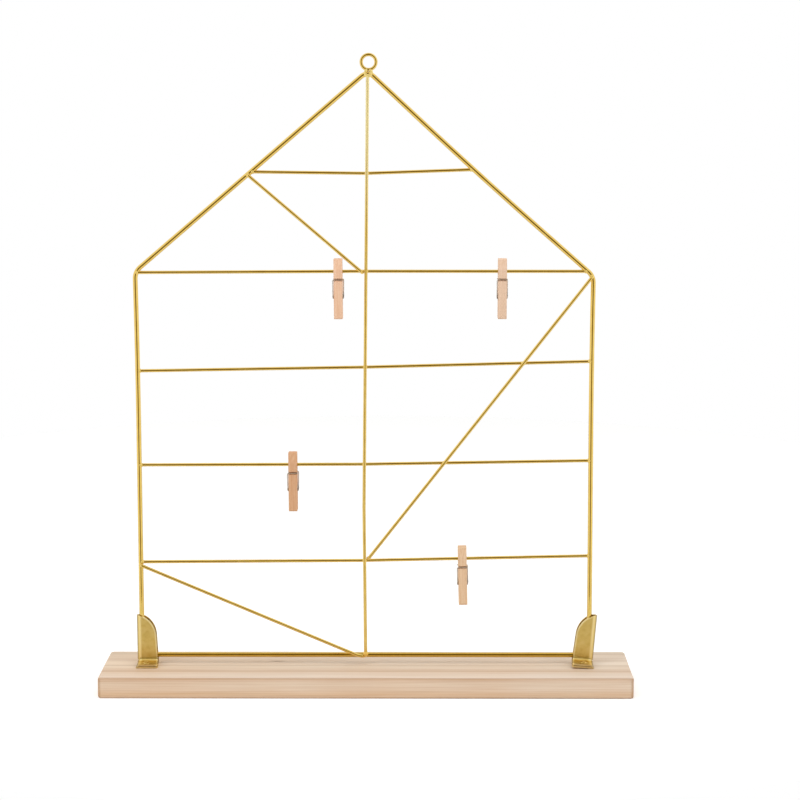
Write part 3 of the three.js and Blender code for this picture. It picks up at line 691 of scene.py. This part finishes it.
# Wires: the house outline, the ring, the rails, the upright and the braces
rack = {
    "frameRadius": 1.5, "innerRadius": 1.0, "frameSides": 32, "innerSides": 24,
    "planeY": 3.3, "railY": 2.8, "lapY": 0.7,  # of the frame, of the rails, of the wires lapped on them
    "leftX": -137.4, "rightX": 135.6, "rightFootX": 136.2, "apexX": 1.5,
    "footZ": 17.8, "apexZ": 371.15, "leftEaveZ": 253.0, "rightEaveZ": 250.4,
    "footBend": 6.0, "eaveBend": 9.0, "apexBend": 5.5, "bendSteps": 20,
    # the hand-bent outline sags inward: a little on both sides, more on the right roof
    "sideSagZ": 195.0, "sideSag": 0.55, "sideSagBend": 5600.0, "roofSag": 1.3, "roofSagBend": 3450.0,
    "ringX": 2.0, "ringZ": 376.27, "ringRadius": 4.35, "ringSteps": 72,
    # each rail's height at the left side, the upright and the right side
    "railZ": [(312.2, 311.35, 313.55), (252.55, 253.35, 253.35), (193.4, 195.75, 199.3),
              (136.05, 136.6, 138.9), (76.1, 77.1, 80.1)],
    "railShort": 0.9,  # how far a rail's end stops short of the middle of the frame's wire
    "besideUpright": 2.3, "braceEdge": 0.9,  # where a brace's low end is, and how round its tips are
    "uprightTop": (1.43, 368.6), "uprightBow": (-1.3, 110.5), "uprightFoot": (-0.545, 17.4),
}


def sideCorners(side):
    # the outline's corners from the foot up to the apex, with the shallow ones of the sags between them
    names = ("leftX", "leftX", "leftEaveZ") if side < 0 else ("rightFootX", "rightX", "rightEaveZ")
    footX, eaveX, eaveZ = (rack[name] for name in names)
    sagX = np.interp(rack["sideSagZ"], [rack["footZ"], eaveZ], [footX, eaveX]) - side * rack["sideSag"]
    corners = [(footX, rack["footZ"]), (sagX, rack["sideSagZ"]), (eaveX, eaveZ),
               (rack["apexX"], rack["apexZ"])]
    if side > 0:
        eave, apex = np.array(corners[2]), np.array(corners[3])
        run = unit(eave - apex)
        corners.insert(3, tuple((eave + apex) / 2 + rack["roofSag"] * np.array([run[1], -run[0]])))
    return np.array(corners)


def frameXAt(side, z):
    # straight runs between the outline's corners
    corners = sideCorners(side)
    return np.interp(z, corners[:, 1], corners[:, 0])


def uprightXAt(z):
    # two straight runs that meet at the slight bow
    foot, bow, top = rack["uprightFoot"], rack["uprightBow"], rack["uprightTop"]
    return np.interp(z, [foot[1], bow[1], top[1]], [foot[0], bow[0], top[0]])


def railEnds(index):
    # a rail's height at the left side, the upright and the right side, and the x of each there
    left, middle, right = rack["railZ"][index]
    return np.array([[frameXAt(-1, left), rack["railY"], left],
                     [uprightXAt(middle), rack["railY"], middle],
                     [frameXAt(1, right), rack["railY"], right]])


def railZAt(index, x):
    # two straight runs that meet at the upright
    ends = railEnds(index)
    return np.interp(x, ends[:, 0], ends[:, 2])


def addWire(name, node, path, gold=wireGold, radius=rack["innerRadius"], sides=rack["innerSides"], **more):
    makePiece(name, wireShape(path, radius, sides, **more), gold, "rack", (node,))


seam = [(rack["uprightFoot"][0], rack["footZ"])]
outline = np.concatenate([seam, sideCorners(-1), sideCorners(1)[-2::-1], seam])
outline = np.insert(outline, 1, rack["planeY"], axis=1)
bendNames = ("foot", "sideSag", "eave", "apex", "roofSag", "eave", "sideSag", "foot")
housePath = bendPath(outline, [rack[name + "Bend"] for name in bendNames], rack["bendSteps"])[:-1]
addWire("houseWire", "house_frame", housePath, frameGold, rack["frameRadius"], rack["frameSides"], loop=True)

circle = np.linspace(-np.pi / 2, 1.5 * np.pi, rack["ringSteps"], endpoint=False)
ringPath = rack["ringRadius"] * np.stack([np.cos(circle), 0 * circle, np.sin(circle)], -1)
ringPath += [rack["ringX"], rack["planeY"], rack["ringZ"]]
addWire("hangingRing", "hanging_ring", ringPath, loop=True)

railCount = len(rack["railZ"])
for railIndex in range(railCount):
    trimmed = railEnds(railIndex)
    left, middle, right = trimmed.copy()
    trimmed[0] += unit(middle - left) * rack["railShort"]
    trimmed[2] += unit(middle - right) * rack["railShort"]
    addWire("railWire%d" % (railIndex + 1), "rail_%d" % (railIndex + 1), trimmed)

uprightCorners = (rack["uprightFoot"], rack["uprightBow"], rack["uprightTop"])
addWire("uprightWire", "centre_upright", [(x, rack["lapY"], z) for x, z in uprightCorners], dullGold)

# Braces: each runs from the frame, below a rail's end, to a place beside the upright, on a rail or on the
# bottom run. The foot brace's last few millimetres are pressed flat against the run.
brace = {
    "roof": {"side": -1, "topRail": 0, "drop": 1.6, "inset": 0.0, "lowRail": 1, "lift": -0.5},
    "long": {"side": 1, "topRail": 1, "drop": 3.25, "inset": 1.0, "lowRail": 4, "lift": 1.5},
    "foot": {"side": -1, "topRail": 4, "drop": 1.6, "inset": 0.0, "flat": [(-2.4, 18.05), (1.2, 17.5)]},
}


def bracePath(side, topRail, drop, inset, lowRail=None, lift=0.0, flat=()):
    # straight runs between corners in x and z, all in the plane of the lapped wires
    topZ = rack["railZ"][topRail][1 + side] - drop
    lowZ = rack["footZ"] if lowRail is None else rack["railZ"][lowRail][1]
    lowX = uprightXAt(lowZ) + side * rack["besideUpright"]
    corners = [(frameXAt(side, topZ) - side * inset, topZ)] + [(lowX + x, z) for x, z in flat]
    if lowRail is not None:
        corners.append((lowX, railZAt(lowRail, lowX) + lift))
    return [(x, rack["lapY"], z) for x, z in corners]


bracePaths = {name: bracePath(**look) for name, look in brace.items()}
for braceName, path in bracePaths.items():
    addWire(braceName + "Brace", "brace_" + braceName, path, edge=rack["braceEdge"])

# Welds: a small lump of fused metal wherever two wires meet. A kind has three half sizes and a seed
weld = {
    "railEnd": ((1.25, 1.45, 1.3), 0.0),
    "crossing": ((1.35, 0.55, 1.3), 2.0),
    "lap": ((1.15, 0.8, 1.1), 3.0),
    "braceCrossing": ((1.35, 0.55, 1.3), 5.0),
    "footBall": ((1.5, 1.4, 1.4), 7.0),
    "saddle": ((2.5, 1.6, 0.95), 8.0),
    "ringFoot": ((1.15, 1.95, 2.05), 9.0),
    "shoulder": ((1.05, 1.1, 1.0), 12.0),
}
weldPlace = {
    "railEndIn": 1.1,  # from the middle of the frame's wire
    "contactY": 1.75, "lapY": 1.85,  # between a rail and the wire lapped on it, and at a brace's ends
    "meetSteps": 400,
    "footBallY": 0.4, "footBallRise": 1.8,  # above the upright's foot
    "saddle": (1.75, 1.0, 368.3),
    "ringFoot": (1.85, 3.1, 370.6), "ringFootApart": 1.5, "ringFootTurn": 20.0,
    "shoulders": [(0.25, 1.7, 369.2), (3.15, 1.7, 369.6)],
}
lump = {"rows": 14, "columns": 20, "lobes": (3, 0.06), "waves": (2, 0.05), "waveSeed": 1.7, "apart": 10.0}
lumps = []


def addLump(kind, centre, number=0, turn=0.0):
    # a ball stretched to three radii, its surface raised and sunk a little by sines of the two angles,
    # then turned about y
    radii, seed = weld[kind]
    seed += number
    (lobes, lobeRise), (waves, waveRise) = lump["lobes"], lump["waves"]
    down = np.linspace(0, np.pi, lump["rows"])[1:-1, None]
    around = np.linspace(0, 2 * np.pi, lump["columns"], endpoint=False)[None, :]
    swell = 1 + lobeRise * np.sin(lobes * around + seed) * np.sin(down)
    swell += waveRise * np.sin(waves * down + lump["waveSeed"] * seed)
    ball = [np.sin(down) * np.cos(around), np.sin(down) * np.sin(around), np.cos(down)]
    points = (np.stack(np.broadcast_arrays(*ball), -1) * swell[..., None]).reshape(-1, 3)
    points = np.concatenate([points, [[0, 0, 1], [0, 0, -1]]]) * radii
    cosine, sine = np.cos(np.radians(turn)), np.sin(np.radians(turn))
    points = points @ np.array([[cosine, 0, -sine], [0, 1, 0], [sine, 0, cosine]])
    lumps.append({"points": points + centre, "faces": poleFaces(len(down), lump["columns"], True),
                  "place": points + lump["apart"] * seed})


for railIndex in range(railCount):
    left, middle, right = railEnds(railIndex)
    for side, end in ((-1, left), (1, right)):
        addLump("railEnd", end - [side * weldPlace["railEndIn"], 0, 0], railIndex + side)
    addLump("crossing", (middle[0], weldPlace["contactY"], middle[2]), railIndex)
for number, path in enumerate(bracePaths.values()):
    for x, _, z in (path[0], path[-1]):
        addLump("lap", (x, weldPlace["lapY"], z), number)
(topX, _, topZ), (lowX, _, lowZ) = bracePaths["long"]
heights = np.linspace(lowZ, topZ, weldPlace["meetSteps"])
reach = np.interp(heights, [lowZ, topZ], [lowX, topX])
for railIndex in range(brace["long"]["topRail"] + 1, brace["long"]["lowRail"]):
    meet = np.argmin(np.abs(railZAt(railIndex, reach) - heights))
    addLump("braceCrossing", (reach[meet], weldPlace["contactY"], heights[meet]), railIndex)
footX, footZ = rack["uprightFoot"]
addLump("footBall", (footX, weldPlace["footBallY"], footZ + weldPlace["footBallRise"]))
addLump("saddle", weldPlace["saddle"])
for side in (-1, 1):
    apart = np.array([side * weldPlace["ringFootApart"], 0, 0])
    addLump("ringFoot", weldPlace["ringFoot"] + apart, side, -side * weldPlace["ringFootTurn"])
for number, place in enumerate(weldPlace["shoulders"]):
    addLump("shoulder", place, number)
makePiece("weldLumps", joinShapes(lumps), weldGold, "rack")
print("stage: wires made")

# Board: its rounded plan carried up a section whose corners are quarter circles of the edge radius
board = {
    "width": 321.0, "depth": 60.0, "thickness": 12.4, "edge": 1.0, "corner": 2.4,
    "hold": 2.2,  # how far in the one big face of the top and of the base begins, so both shade flat
    "longSteps": 90, "shortSteps": 20, "cornerSteps": 8, "edgeSteps": 6,
    # the ripple of the sanded top edge: how far in, its runs, its sway, its reach down and its drop
    "wave": 0.10, "waveRuns": (17.0, 41.0, 9.0), "waveSway": 1.3, "waveReach": 1.5, "waveDrop": 0.5,
}


def boardShape():
    # a plan point is a corner centre, drawn in by any inset past the corner radius, plus what the inset
    # leaves of that radius; near the top edge it is drawn in by sines of its place
    corner, edge, thickness = board["corner"], board["edge"], board["thickness"]
    turn = np.linspace(0, np.pi / 2, board["cornerSteps"] + 1)
    quarters = np.array([(1, 1), (-1, 1), (-1, -1), (1, -1)], float)
    signs, aims = [], []
    for quarter, (here, following) in enumerate(zip(quarters, np.roll(quarters, -1, axis=0))):
        angle = turn + quarter * np.pi / 2
        aims.append(np.stack([np.cos(angle), np.sin(angle)], -1))
        signs.append(np.tile(here, (len(turn), 1)))
        steps = board["longSteps"] if quarter % 2 == 0 else board["shortSteps"]
        along = np.linspace(0, 1, steps + 1)[1:-1, None]
        signs.append(here * (1 - along) + following * along)
        aims.append(np.tile(aims[-1][-1], (len(along), 1)))
    signs, aims = np.concatenate(signs), np.concatenate(aims)
    arc = np.linspace(0, np.pi / 2, board["edgeSteps"] + 1)
    lowInset, lowZ = edge * (1 - np.sin(arc)), edge * (1 - np.cos(arc))
    inset = np.concatenate([[board["hold"]], lowInset, lowInset[::-1], [board["hold"]]])
    height = np.concatenate([[0], lowZ, thickness - lowZ[::-1], [thickness]])
    left = np.maximum(corner - inset, 0)[:, None, None]
    half = np.array([board["width"], board["depth"]]) / 2 - corner - np.maximum(inset - corner, 0)[:, None]
    plan = signs[None] * half[:, None] + left * aims[None]
    short, long, across = board["waveRuns"]
    phase = plan[..., 0] / short + board["waveSway"] * np.sin(plan[..., 0] / long) + plan[..., 1] / across
    onEdge = np.exp(-((height - thickness) / board["waveReach"]) ** 2) * (inset < board["hold"])
    ripple = board["wave"] * (0.5 + 0.5 * np.sin(phase)) * onEdge[:, None]
    plan = plan - aims[None] * ripple[..., None]
    rise = height[:, None] - board["waveDrop"] * ripple
    return cappedShape(np.concatenate([plan, rise[..., None]], -1))


makePiece("pineBoard", boardShape(), boardPine, "rack", ("base_board",))
print("stage: board made")

# Brackets: one blank folded round the frame's corner. Its front cheek turns forward into the upper layer
# of the foot, and its back cheek turns forward under the wire into the lower layer.
bracket = {
    "gauge": 1.04, "foldRadius": 2.4, "foldX": 3.0, "width": 12.75, "shoulder": (11.85, 16.6),
    "height": 30.4, "bend": 2.6, "backBend": 1.4, "foldEnd": 2.6, "flare": 0.9,
    # foldEnd is the height where the fold stops, and flare widens the foot towards its front. A layer has
    # the radii of its two front corners, and the x of its outer edge at the back and at the front
    "upper": {"level": 1.82, "front": -12.25, "corners": (0.6, 1.8), "outer": (0.7, 1.6)},
    "lower": {"level": 0.56, "front": -12.35, "corners": (0.6, 1.4), "outer": (0.4, 0.4)},
    "sides": {"left": (1, -140.4, 0.0), "right": (-1, 138.45, 4.6)},  # way in, outer x, lean in degrees
    "seatZ": 12.5,
    "cheekSteps": 18, "foldSteps": 16, "riseSteps": 22, "fallSteps": 3, "bendSteps": 8, "footSteps": 12,
    "cornerSteps": 8,
    "merge": 0.01, "edge": 0.4, "edgeSteps": 3, "edgeAngle": 50.0,
}


def placeBracket(points, inward, outerX, lean):
    # mirrored for the right side, leaned about the outer corner of the seat, then moved to its place
    lean = np.radians(lean)
    x, y, z = points[:, 0] * inward, points[:, 1], points[:, 2]
    return np.stack([x * np.cos(lean) + z * np.sin(lean) + outerX, y + rack["planeY"],
                     z * np.cos(lean) - x * np.sin(lean) + bracket["seatZ"]], -1)


def widened(x, z):
    # the cheek's free edge slants out from the shoulder down to the foot, and the rest in proportion
    shoulderX, shoulderZ = bracket["shoulder"]
    share = np.clip((x - bracket["foldX"]) / (shoulderX - bracket["foldX"]), 0, 1)
    return x + (bracket["width"] - shoulderX) * share * np.clip(1 - z / shoulderZ, 0, 1)


def footLayer(cheekX, startY, bend, towards, layer):
    # from a cheek's lower end a quarter circle, then a flat whose front corners are quarter circles
    arc = np.linspace(0, np.pi / 2, bracket["bendSteps"] + 1)
    tip = np.linspace(0, np.pi / 2, bracket["cornerSteps"] + 1)
    flatY = startY - bend
    layerZ, front, corners = layer["level"], layer["front"], layer["corners"]
    most = max(corners)
    y = np.concatenate([flatY + bend * np.cos(arc),
                        np.linspace(flatY, front + most, bracket["footSteps"])[1:-1],
                        front + most * (1 - np.sin(tip))])
    z = np.concatenate([layerZ + bend * (1 - np.sin(arc)), np.full(len(y) - len(arc), layerZ)])
    turned = np.sqrt(np.clip(1 - (z - layerZ) / bend, 0, 1))
    cuts = []
    for corner in corners:
        left = np.clip(1 - (y - front) / corner, 0, 1)
        cuts.append(corner * (1 - np.sqrt(1 - left ** 2)))
    gone = np.clip((flatY - y) / (flatY - front), 0, 1)
    outer = layer["outer"][0] * (1 - gone) + layer["outer"][1] * gone
    first = bracket["foldX"] * (1 - turned) + outer * turned + cuts[0]
    last = widened(bracket["shoulder"][0], z) + bracket["flare"] * gone - cuts[1]
    share = (cheekX - bracket["foldX"]) / (bracket["shoulder"][0] - bracket["foldX"])
    x = first[:, None] + (last - first)[:, None] * share[None]
    return np.stack(np.broadcast_arrays(x, y[:, None], z[:, None]), -1)[:, ::towards]


def bracketShape():
    # cheek height is a quarter ellipse of the distance from the fold; the fold is a half circle in plan
    fold, foldX = bracket["foldRadius"], bracket["foldX"]
    shoulderX, shoulderZ = bracket["shoulder"]
    frontEnd = bracket["upper"]["level"] + bracket["bend"]
    backEnd = bracket["lower"]["level"] + bracket["backBend"]
    spread = np.linspace(0, np.arccos(foldX / shoulderX), bracket["cheekSteps"] + 1)
    cheekX = shoulderX * np.cos(spread)
    around = np.linspace(-np.pi / 2, np.pi / 2, bracket["foldSteps"] + 1)[1:-1]
    planX = np.concatenate([cheekX, foldX - fold * np.cos(around), cheekX[::-1]])
    planY = np.concatenate([0 * cheekX - fold, fold * np.sin(around), 0 * cheekX + fold])
    arch = np.sqrt(np.maximum(1 - (planX / shoulderX) ** 2, 0))
    top = shoulderZ + (bracket["height"] - shoulderZ) * arch
    share = np.linspace(1, 0, bracket["riseSteps"] + 1)[:, None]
    rise = frontEnd + (top - frontEnd) * share
    grids = [np.stack(np.broadcast_arrays(widened(planX, rise), planY[None], rise), -1)]
    folded = slice(len(cheekX) - 1, len(cheekX) + len(around) + 1)
    behind = slice(len(cheekX) + len(around), None)
    for columns, low in ((folded, bracket["foldEnd"]), (behind, backEnd)):
        fall = np.linspace(frontEnd, low, bracket["fallSteps"] + 1)[:, None]
        x = widened(planX[None, columns], fall)
        grids.append(np.stack(np.broadcast_arrays(x, planY[None, columns], fall), -1))
    grids.append(footLayer(cheekX, -fold, bracket["bend"], 1, bracket["upper"]))
    grids.append(footLayer(cheekX, fold, bracket["backBend"], -1, bracket["lower"]))
    # place: how far from the fold's side, how far in from the front cheek's free edge, how far forward
    free = np.concatenate([grids[0][0, :len(cheekX) - 1], grids[0][:, 0], grids[-2][:, 0]])
    shapes = []
    for grid in grids:
        points = grid.reshape(-1, 3)
        away = np.linalg.norm(points[:, None] - free[None], axis=2).min(1)
        shapes.append({"points": points, "faces": [gridQuads(*grid.shape[:2], False)],
                       "place": np.stack([points[:, 0], away, -points[:, 1]], -1)})
    return joinShapes(shapes)


def finishSheet(piece):
    # seams between the grids are merged, then the sheet gets its gauge and its deburred edges
    build = bmesh.new()
    build.from_mesh(piece.data)
    bmesh.ops.remove_doubles(build, verts=build.verts, dist=bracket["merge"] * mm)
    bmesh.ops.recalc_face_normals(build, faces=build.faces)
    build.to_mesh(piece.data)
    build.free()
    thick = piece.modifiers.new("gauge", "SOLIDIFY")
    thick.thickness = bracket["gauge"] * mm
    thick.offset = 0.0
    thick.use_even_offset = True
    eased = piece.modifiers.new("deburred", "BEVEL")
    eased.width = bracket["edge"] * mm
    eased.segments = bracket["edgeSteps"]
    eased.limit_method = "ANGLE"
    eased.angle_limit = np.radians(bracket["edgeAngle"])
    eased.harden_normals = True


for sideName, (inward, outerX, lean) in bracket["sides"].items():
    shape = bracketShape()
    shape["points"] = placeBracket(shape["points"], inward, outerX, lean)
    finishSheet(makePiece(sideName + "Bracket", shape, sheetGold, "rack",
                          ("bracket_" + sideName,)))

# Screws: a dome turned round its axis, with the driver's cross pressed into it; shank and point below
screw = {
    "head": 2.15, "headHeight": 0.85, "shank": 1.2, "length": 9.5, "point": 2.0,
    "rimShare": 0.97, "rimDrop": 0.02, "tip": 0.02,  # the head's lower rim, and the radius of the point
    "crossHalf": 0.3, "crossReach": 1.4, "crossDepth": 0.5, "armEase": 0.12, "reachEase": 0.5,
    "place": (6.375, -8.7, 2.42), "turn": {"left": 20.0, "right": 55.0},
    "domeSteps": 40, "sides": 120,
}


def screwShape(turn):
    # radius and height follow a quarter ellipse on the dome; the cross sinks where either arm's width
    # is small
    head, shank, length = screw["head"], screw["shank"], screw["length"]
    dome = np.linspace(0, np.pi / 2, screw["domeSteps"])
    radius = np.append(head * np.sin(dome), [head * screw["rimShare"], shank, shank, screw["tip"]])
    height = np.append(screw["headHeight"] * np.cos(dome),
                       [-screw["rimDrop"], 0.0, screw["point"] - length, -length])
    angle = np.linspace(0, 2 * np.pi, screw["sides"], endpoint=False)[None, :]
    x, y = radius[:, None] * np.cos(angle), radius[:, None] * np.sin(angle)
    lean = np.radians(turn)
    a, b = x * np.cos(lean) + y * np.sin(lean), y * np.cos(lean) - x * np.sin(lean)
    narrow = np.minimum(np.abs(a), np.abs(b))
    inArm = np.clip((screw["crossHalf"] - narrow) / screw["armEase"] + 0.5, 0, 1)
    inReach = np.clip((screw["crossReach"] - np.hypot(a, b)) / screw["reachEase"], 0, 1)
    onDome = (np.arange(len(radius)) < len(dome))[:, None]
    sunk = screw["crossDepth"] * inArm * inReach * onDome
    return cappedShape(np.stack([x, y, height[:, None] - sunk], -1), flip=True)


for sideName, (inward, outerX, lean) in bracket["sides"].items():
    shape = screwShape(screw["turn"][sideName])
    local = shape["points"] * [inward, 1, 1] + screw["place"]
    shape["points"] = placeBracket(local, inward, outerX, lean)
    makePiece(sideName + "Screw", shape, screwBrass, "rack", ("screw_" + sideName,))
print("stage: brackets and screws made")

# Pegs: two legs sawn to one outline, and a spring coiled from one wire
peg = {
    "length": 35.9, "width": 5.2, "thickness": 3.8, "gap": 0.3,
    "leadIn": 1.2, "tipThickness": 2.7, "taper": 6.5, "handleTaper": 8.0, "endRound": 0.8,
    "notchFromTip": 7.6, "notch": 1.3, "grooveFromTip": 12.4, "coilFromTip": 22.0,
    "coilSeat": 2.35, "barSeat": 0.85, "barLift": 0.15, "barSink": 0.4,
    # the notch and the two seats are radii, and the handle's taper is in degrees
    "jawBends": (3.0, 0.5, 0.25, 0.8), "handleBends": (0.4, 0.5, 0.5), "bendSteps": 8,
    "hollowSteps": 22, "lip": 0.2,  # the flat beside the groove
    "edge": 0.28, "edgeSteps": 4,
    "pegGrain": 40.0, "legGrain": 9.0,  # how far along the grain the next peg is cut, and each leg to its side
}
springWire = {
    "radius": 0.4, "coil": 1.65, "turns": 4, "sideGap": 0.15, "armBend": 0.9, "barEnd": 0.35, "edge": 0.15,
    "turnSteps": 36, "armSteps": 10, "sides": 14,
}
tipZ = peg["coilFromTip"]
handleZ = tipZ - peg["length"]
notchZ = tipZ - peg["notchFromTip"]
grooveZ = tipZ - peg["grooveFromTip"]
innerFace = peg["gap"] / 2
outerFace = innerFace + peg["thickness"]
barY = outerFace - peg["barSink"]
handleTilt = np.radians(peg["handleTaper"])


def hollow(centreY, centreZ, radius, start, end):
    # an arc of a circle
    angle = np.linspace(start, end, peg["hollowSteps"])
    return np.stack([centreY + radius * np.cos(angle), centreZ + radius * np.sin(angle)], -1)


def legOutline():
    # one leg from the side, anticlockwise: flats with eased corners, and three hollows
    notchAngle = np.arccos(innerFace / peg["notch"])
    coilTop = np.arccos(innerFace / peg["coilSeat"])
    coilBottom = np.arccos(innerFace * np.cos(handleTilt) / peg["coilSeat"]) - handleTilt
    barAngle = np.arccos((peg["barSink"] - peg["barLift"]) / peg["barSeat"])
    notch = hollow(0, notchZ, peg["notch"], notchAngle, -notchAngle)
    coil = hollow(0, 0, peg["coilSeat"], coilTop, -coilBottom)
    groove = hollow(barY + peg["barLift"], grooveZ, peg["barSeat"], 2 * np.pi - barAngle, barAngle)
    jaw = bendPath([groove[-1], (outerFace, tipZ - peg["taper"]), (innerFace + peg["tipThickness"], tipZ),
                    (innerFace + peg["leadIn"] / 2, tipZ), (innerFace, tipZ - peg["leadIn"]), notch[0]],
                   peg["jawBends"], peg["bendSteps"])
    handle = bendPath([coil[-1], (innerFace - np.tan(handleTilt) * handleZ, handleZ),
                       (outerFace - peg["endRound"], handleZ), (outerFace, handleZ + peg["endRound"]),
                       groove[0]], peg["handleBends"], peg["bendSteps"])
    lip = np.array([[0, peg["lip"]]])
    return np.concatenate([groove[-1:] + lip, jaw[1:], notch[1:], coil, handle[1:-1],
                           groove[:1] - lip, groove])


def legShape(side, offset):
    # the outline carried across the leg's width; towards each cheek it is drawn in along a quarter circle
    outline = legOutline()
    ahead = unit(np.roll(outline, -1, 0) - outline)
    behind = np.roll(ahead, 1, 0)
    outA = np.stack([ahead[:, 1], -ahead[:, 0]], -1)
    outB = np.stack([behind[:, 1], -behind[:, 0]], -1)
    outward = (outA + outB) / (1 + np.sum(outA * outB, -1, keepdims=True))
    turn = np.linspace(0, np.pi / 2, peg["edgeSteps"] + 1)
    inset = peg["edge"] * (1 - np.sin(turn))
    depth = peg["edge"] * (1 - np.cos(turn))
    half = peg["width"] / 2
    rowX = np.concatenate([-half + depth, half - depth[::-1]])[:, None]
    rowInset = np.concatenate([inset, inset[::-1]])
    flat = outline[None] - rowInset[:, None, None] * outward[None]
    grid = np.stack(np.broadcast_arrays(rowX, side * flat[..., 0], flat[..., 1]), -1)
    return cappedShape(grid, side > 0, offset)


def springShape():
    # bar, bent arm, coil and the same again: a helix whose two ends leave along its tangents,
    # the second half turned about z
    armX = peg["width"] / 2 + springWire["sideGap"] + springWire["radius"]
    radius = springWire["coil"]
    leave = np.pi - np.arctan2(grooveZ, barY) + np.arccos(radius / np.hypot(barY, grooveZ))
    corner = np.array([-armX, -barY, grooveZ])
    meet = np.array([-armX, radius * np.cos(leave), radius * np.sin(leave)])
    tail = corner * [0, 1, 1] + [peg["width"] / 2 + springWire["barEnd"], 0, 0]
    half = bendPath([tail, corner, meet], [springWire["armBend"]], springWire["armSteps"])[:-1]
    sweep = 2 * np.pi * springWire["turns"] + 3 * np.pi - 2 * leave
    share = np.linspace(0, 1, int(springWire["turnSteps"] * sweep / (2 * np.pi)) + 1)
    angle = leave + sweep * share
    coil = np.stack([armX * (2 * share - 1), radius * np.cos(angle), radius * np.sin(angle)], -1)
    path = np.concatenate([half, coil, (half * [-1, -1, 1])[::-1]])
    shape = wireShape(path, springWire["radius"], springWire["sides"], springWire["edge"])
    shape["place"][:, 0] -= shape["place"][:, 0].max() / 2  # counted from the middle of the wire
    return shape


for pegIndex in range(len(birch["tones"])):
    hinge = next(j for j in frame["joints"] if j["name"] == "peg_%d_open" % (pegIndex + 1))
    across = unit(np.array(hinge["axis"], float))
    upward = np.cross(across, [0.0, 1.0, 0.0])
    turned = np.stack([across, [0.0, 1.0, 0.0], upward])
    coilAt = np.array(hinge["pos_m"]) / mm
    wood = makeBirch(pegIndex)
    back, front = hinge["parent"], hinge["child"]
    for side, body in ((-1, front), (1, back)):
        shape = legShape(side, peg["pegGrain"] * pegIndex + peg["legGrain"] * side)
        shape["points"] = shape["points"] @ turned + coilAt
        makePiece(body.replace("_", "") + "Leg", shape, wood, body, (body + "_leg",))
    shape = springShape()
    shape["points"] = shape["points"] @ turned + coilAt
    spring = makePiece("peg%dSpring" % (pegIndex + 1), shape, springZinc,
                       nodes=("peg_%d_spring" % (pegIndex + 1),))
    middle = coilAt * mm
    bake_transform(spring)
print("stage: pegs made")
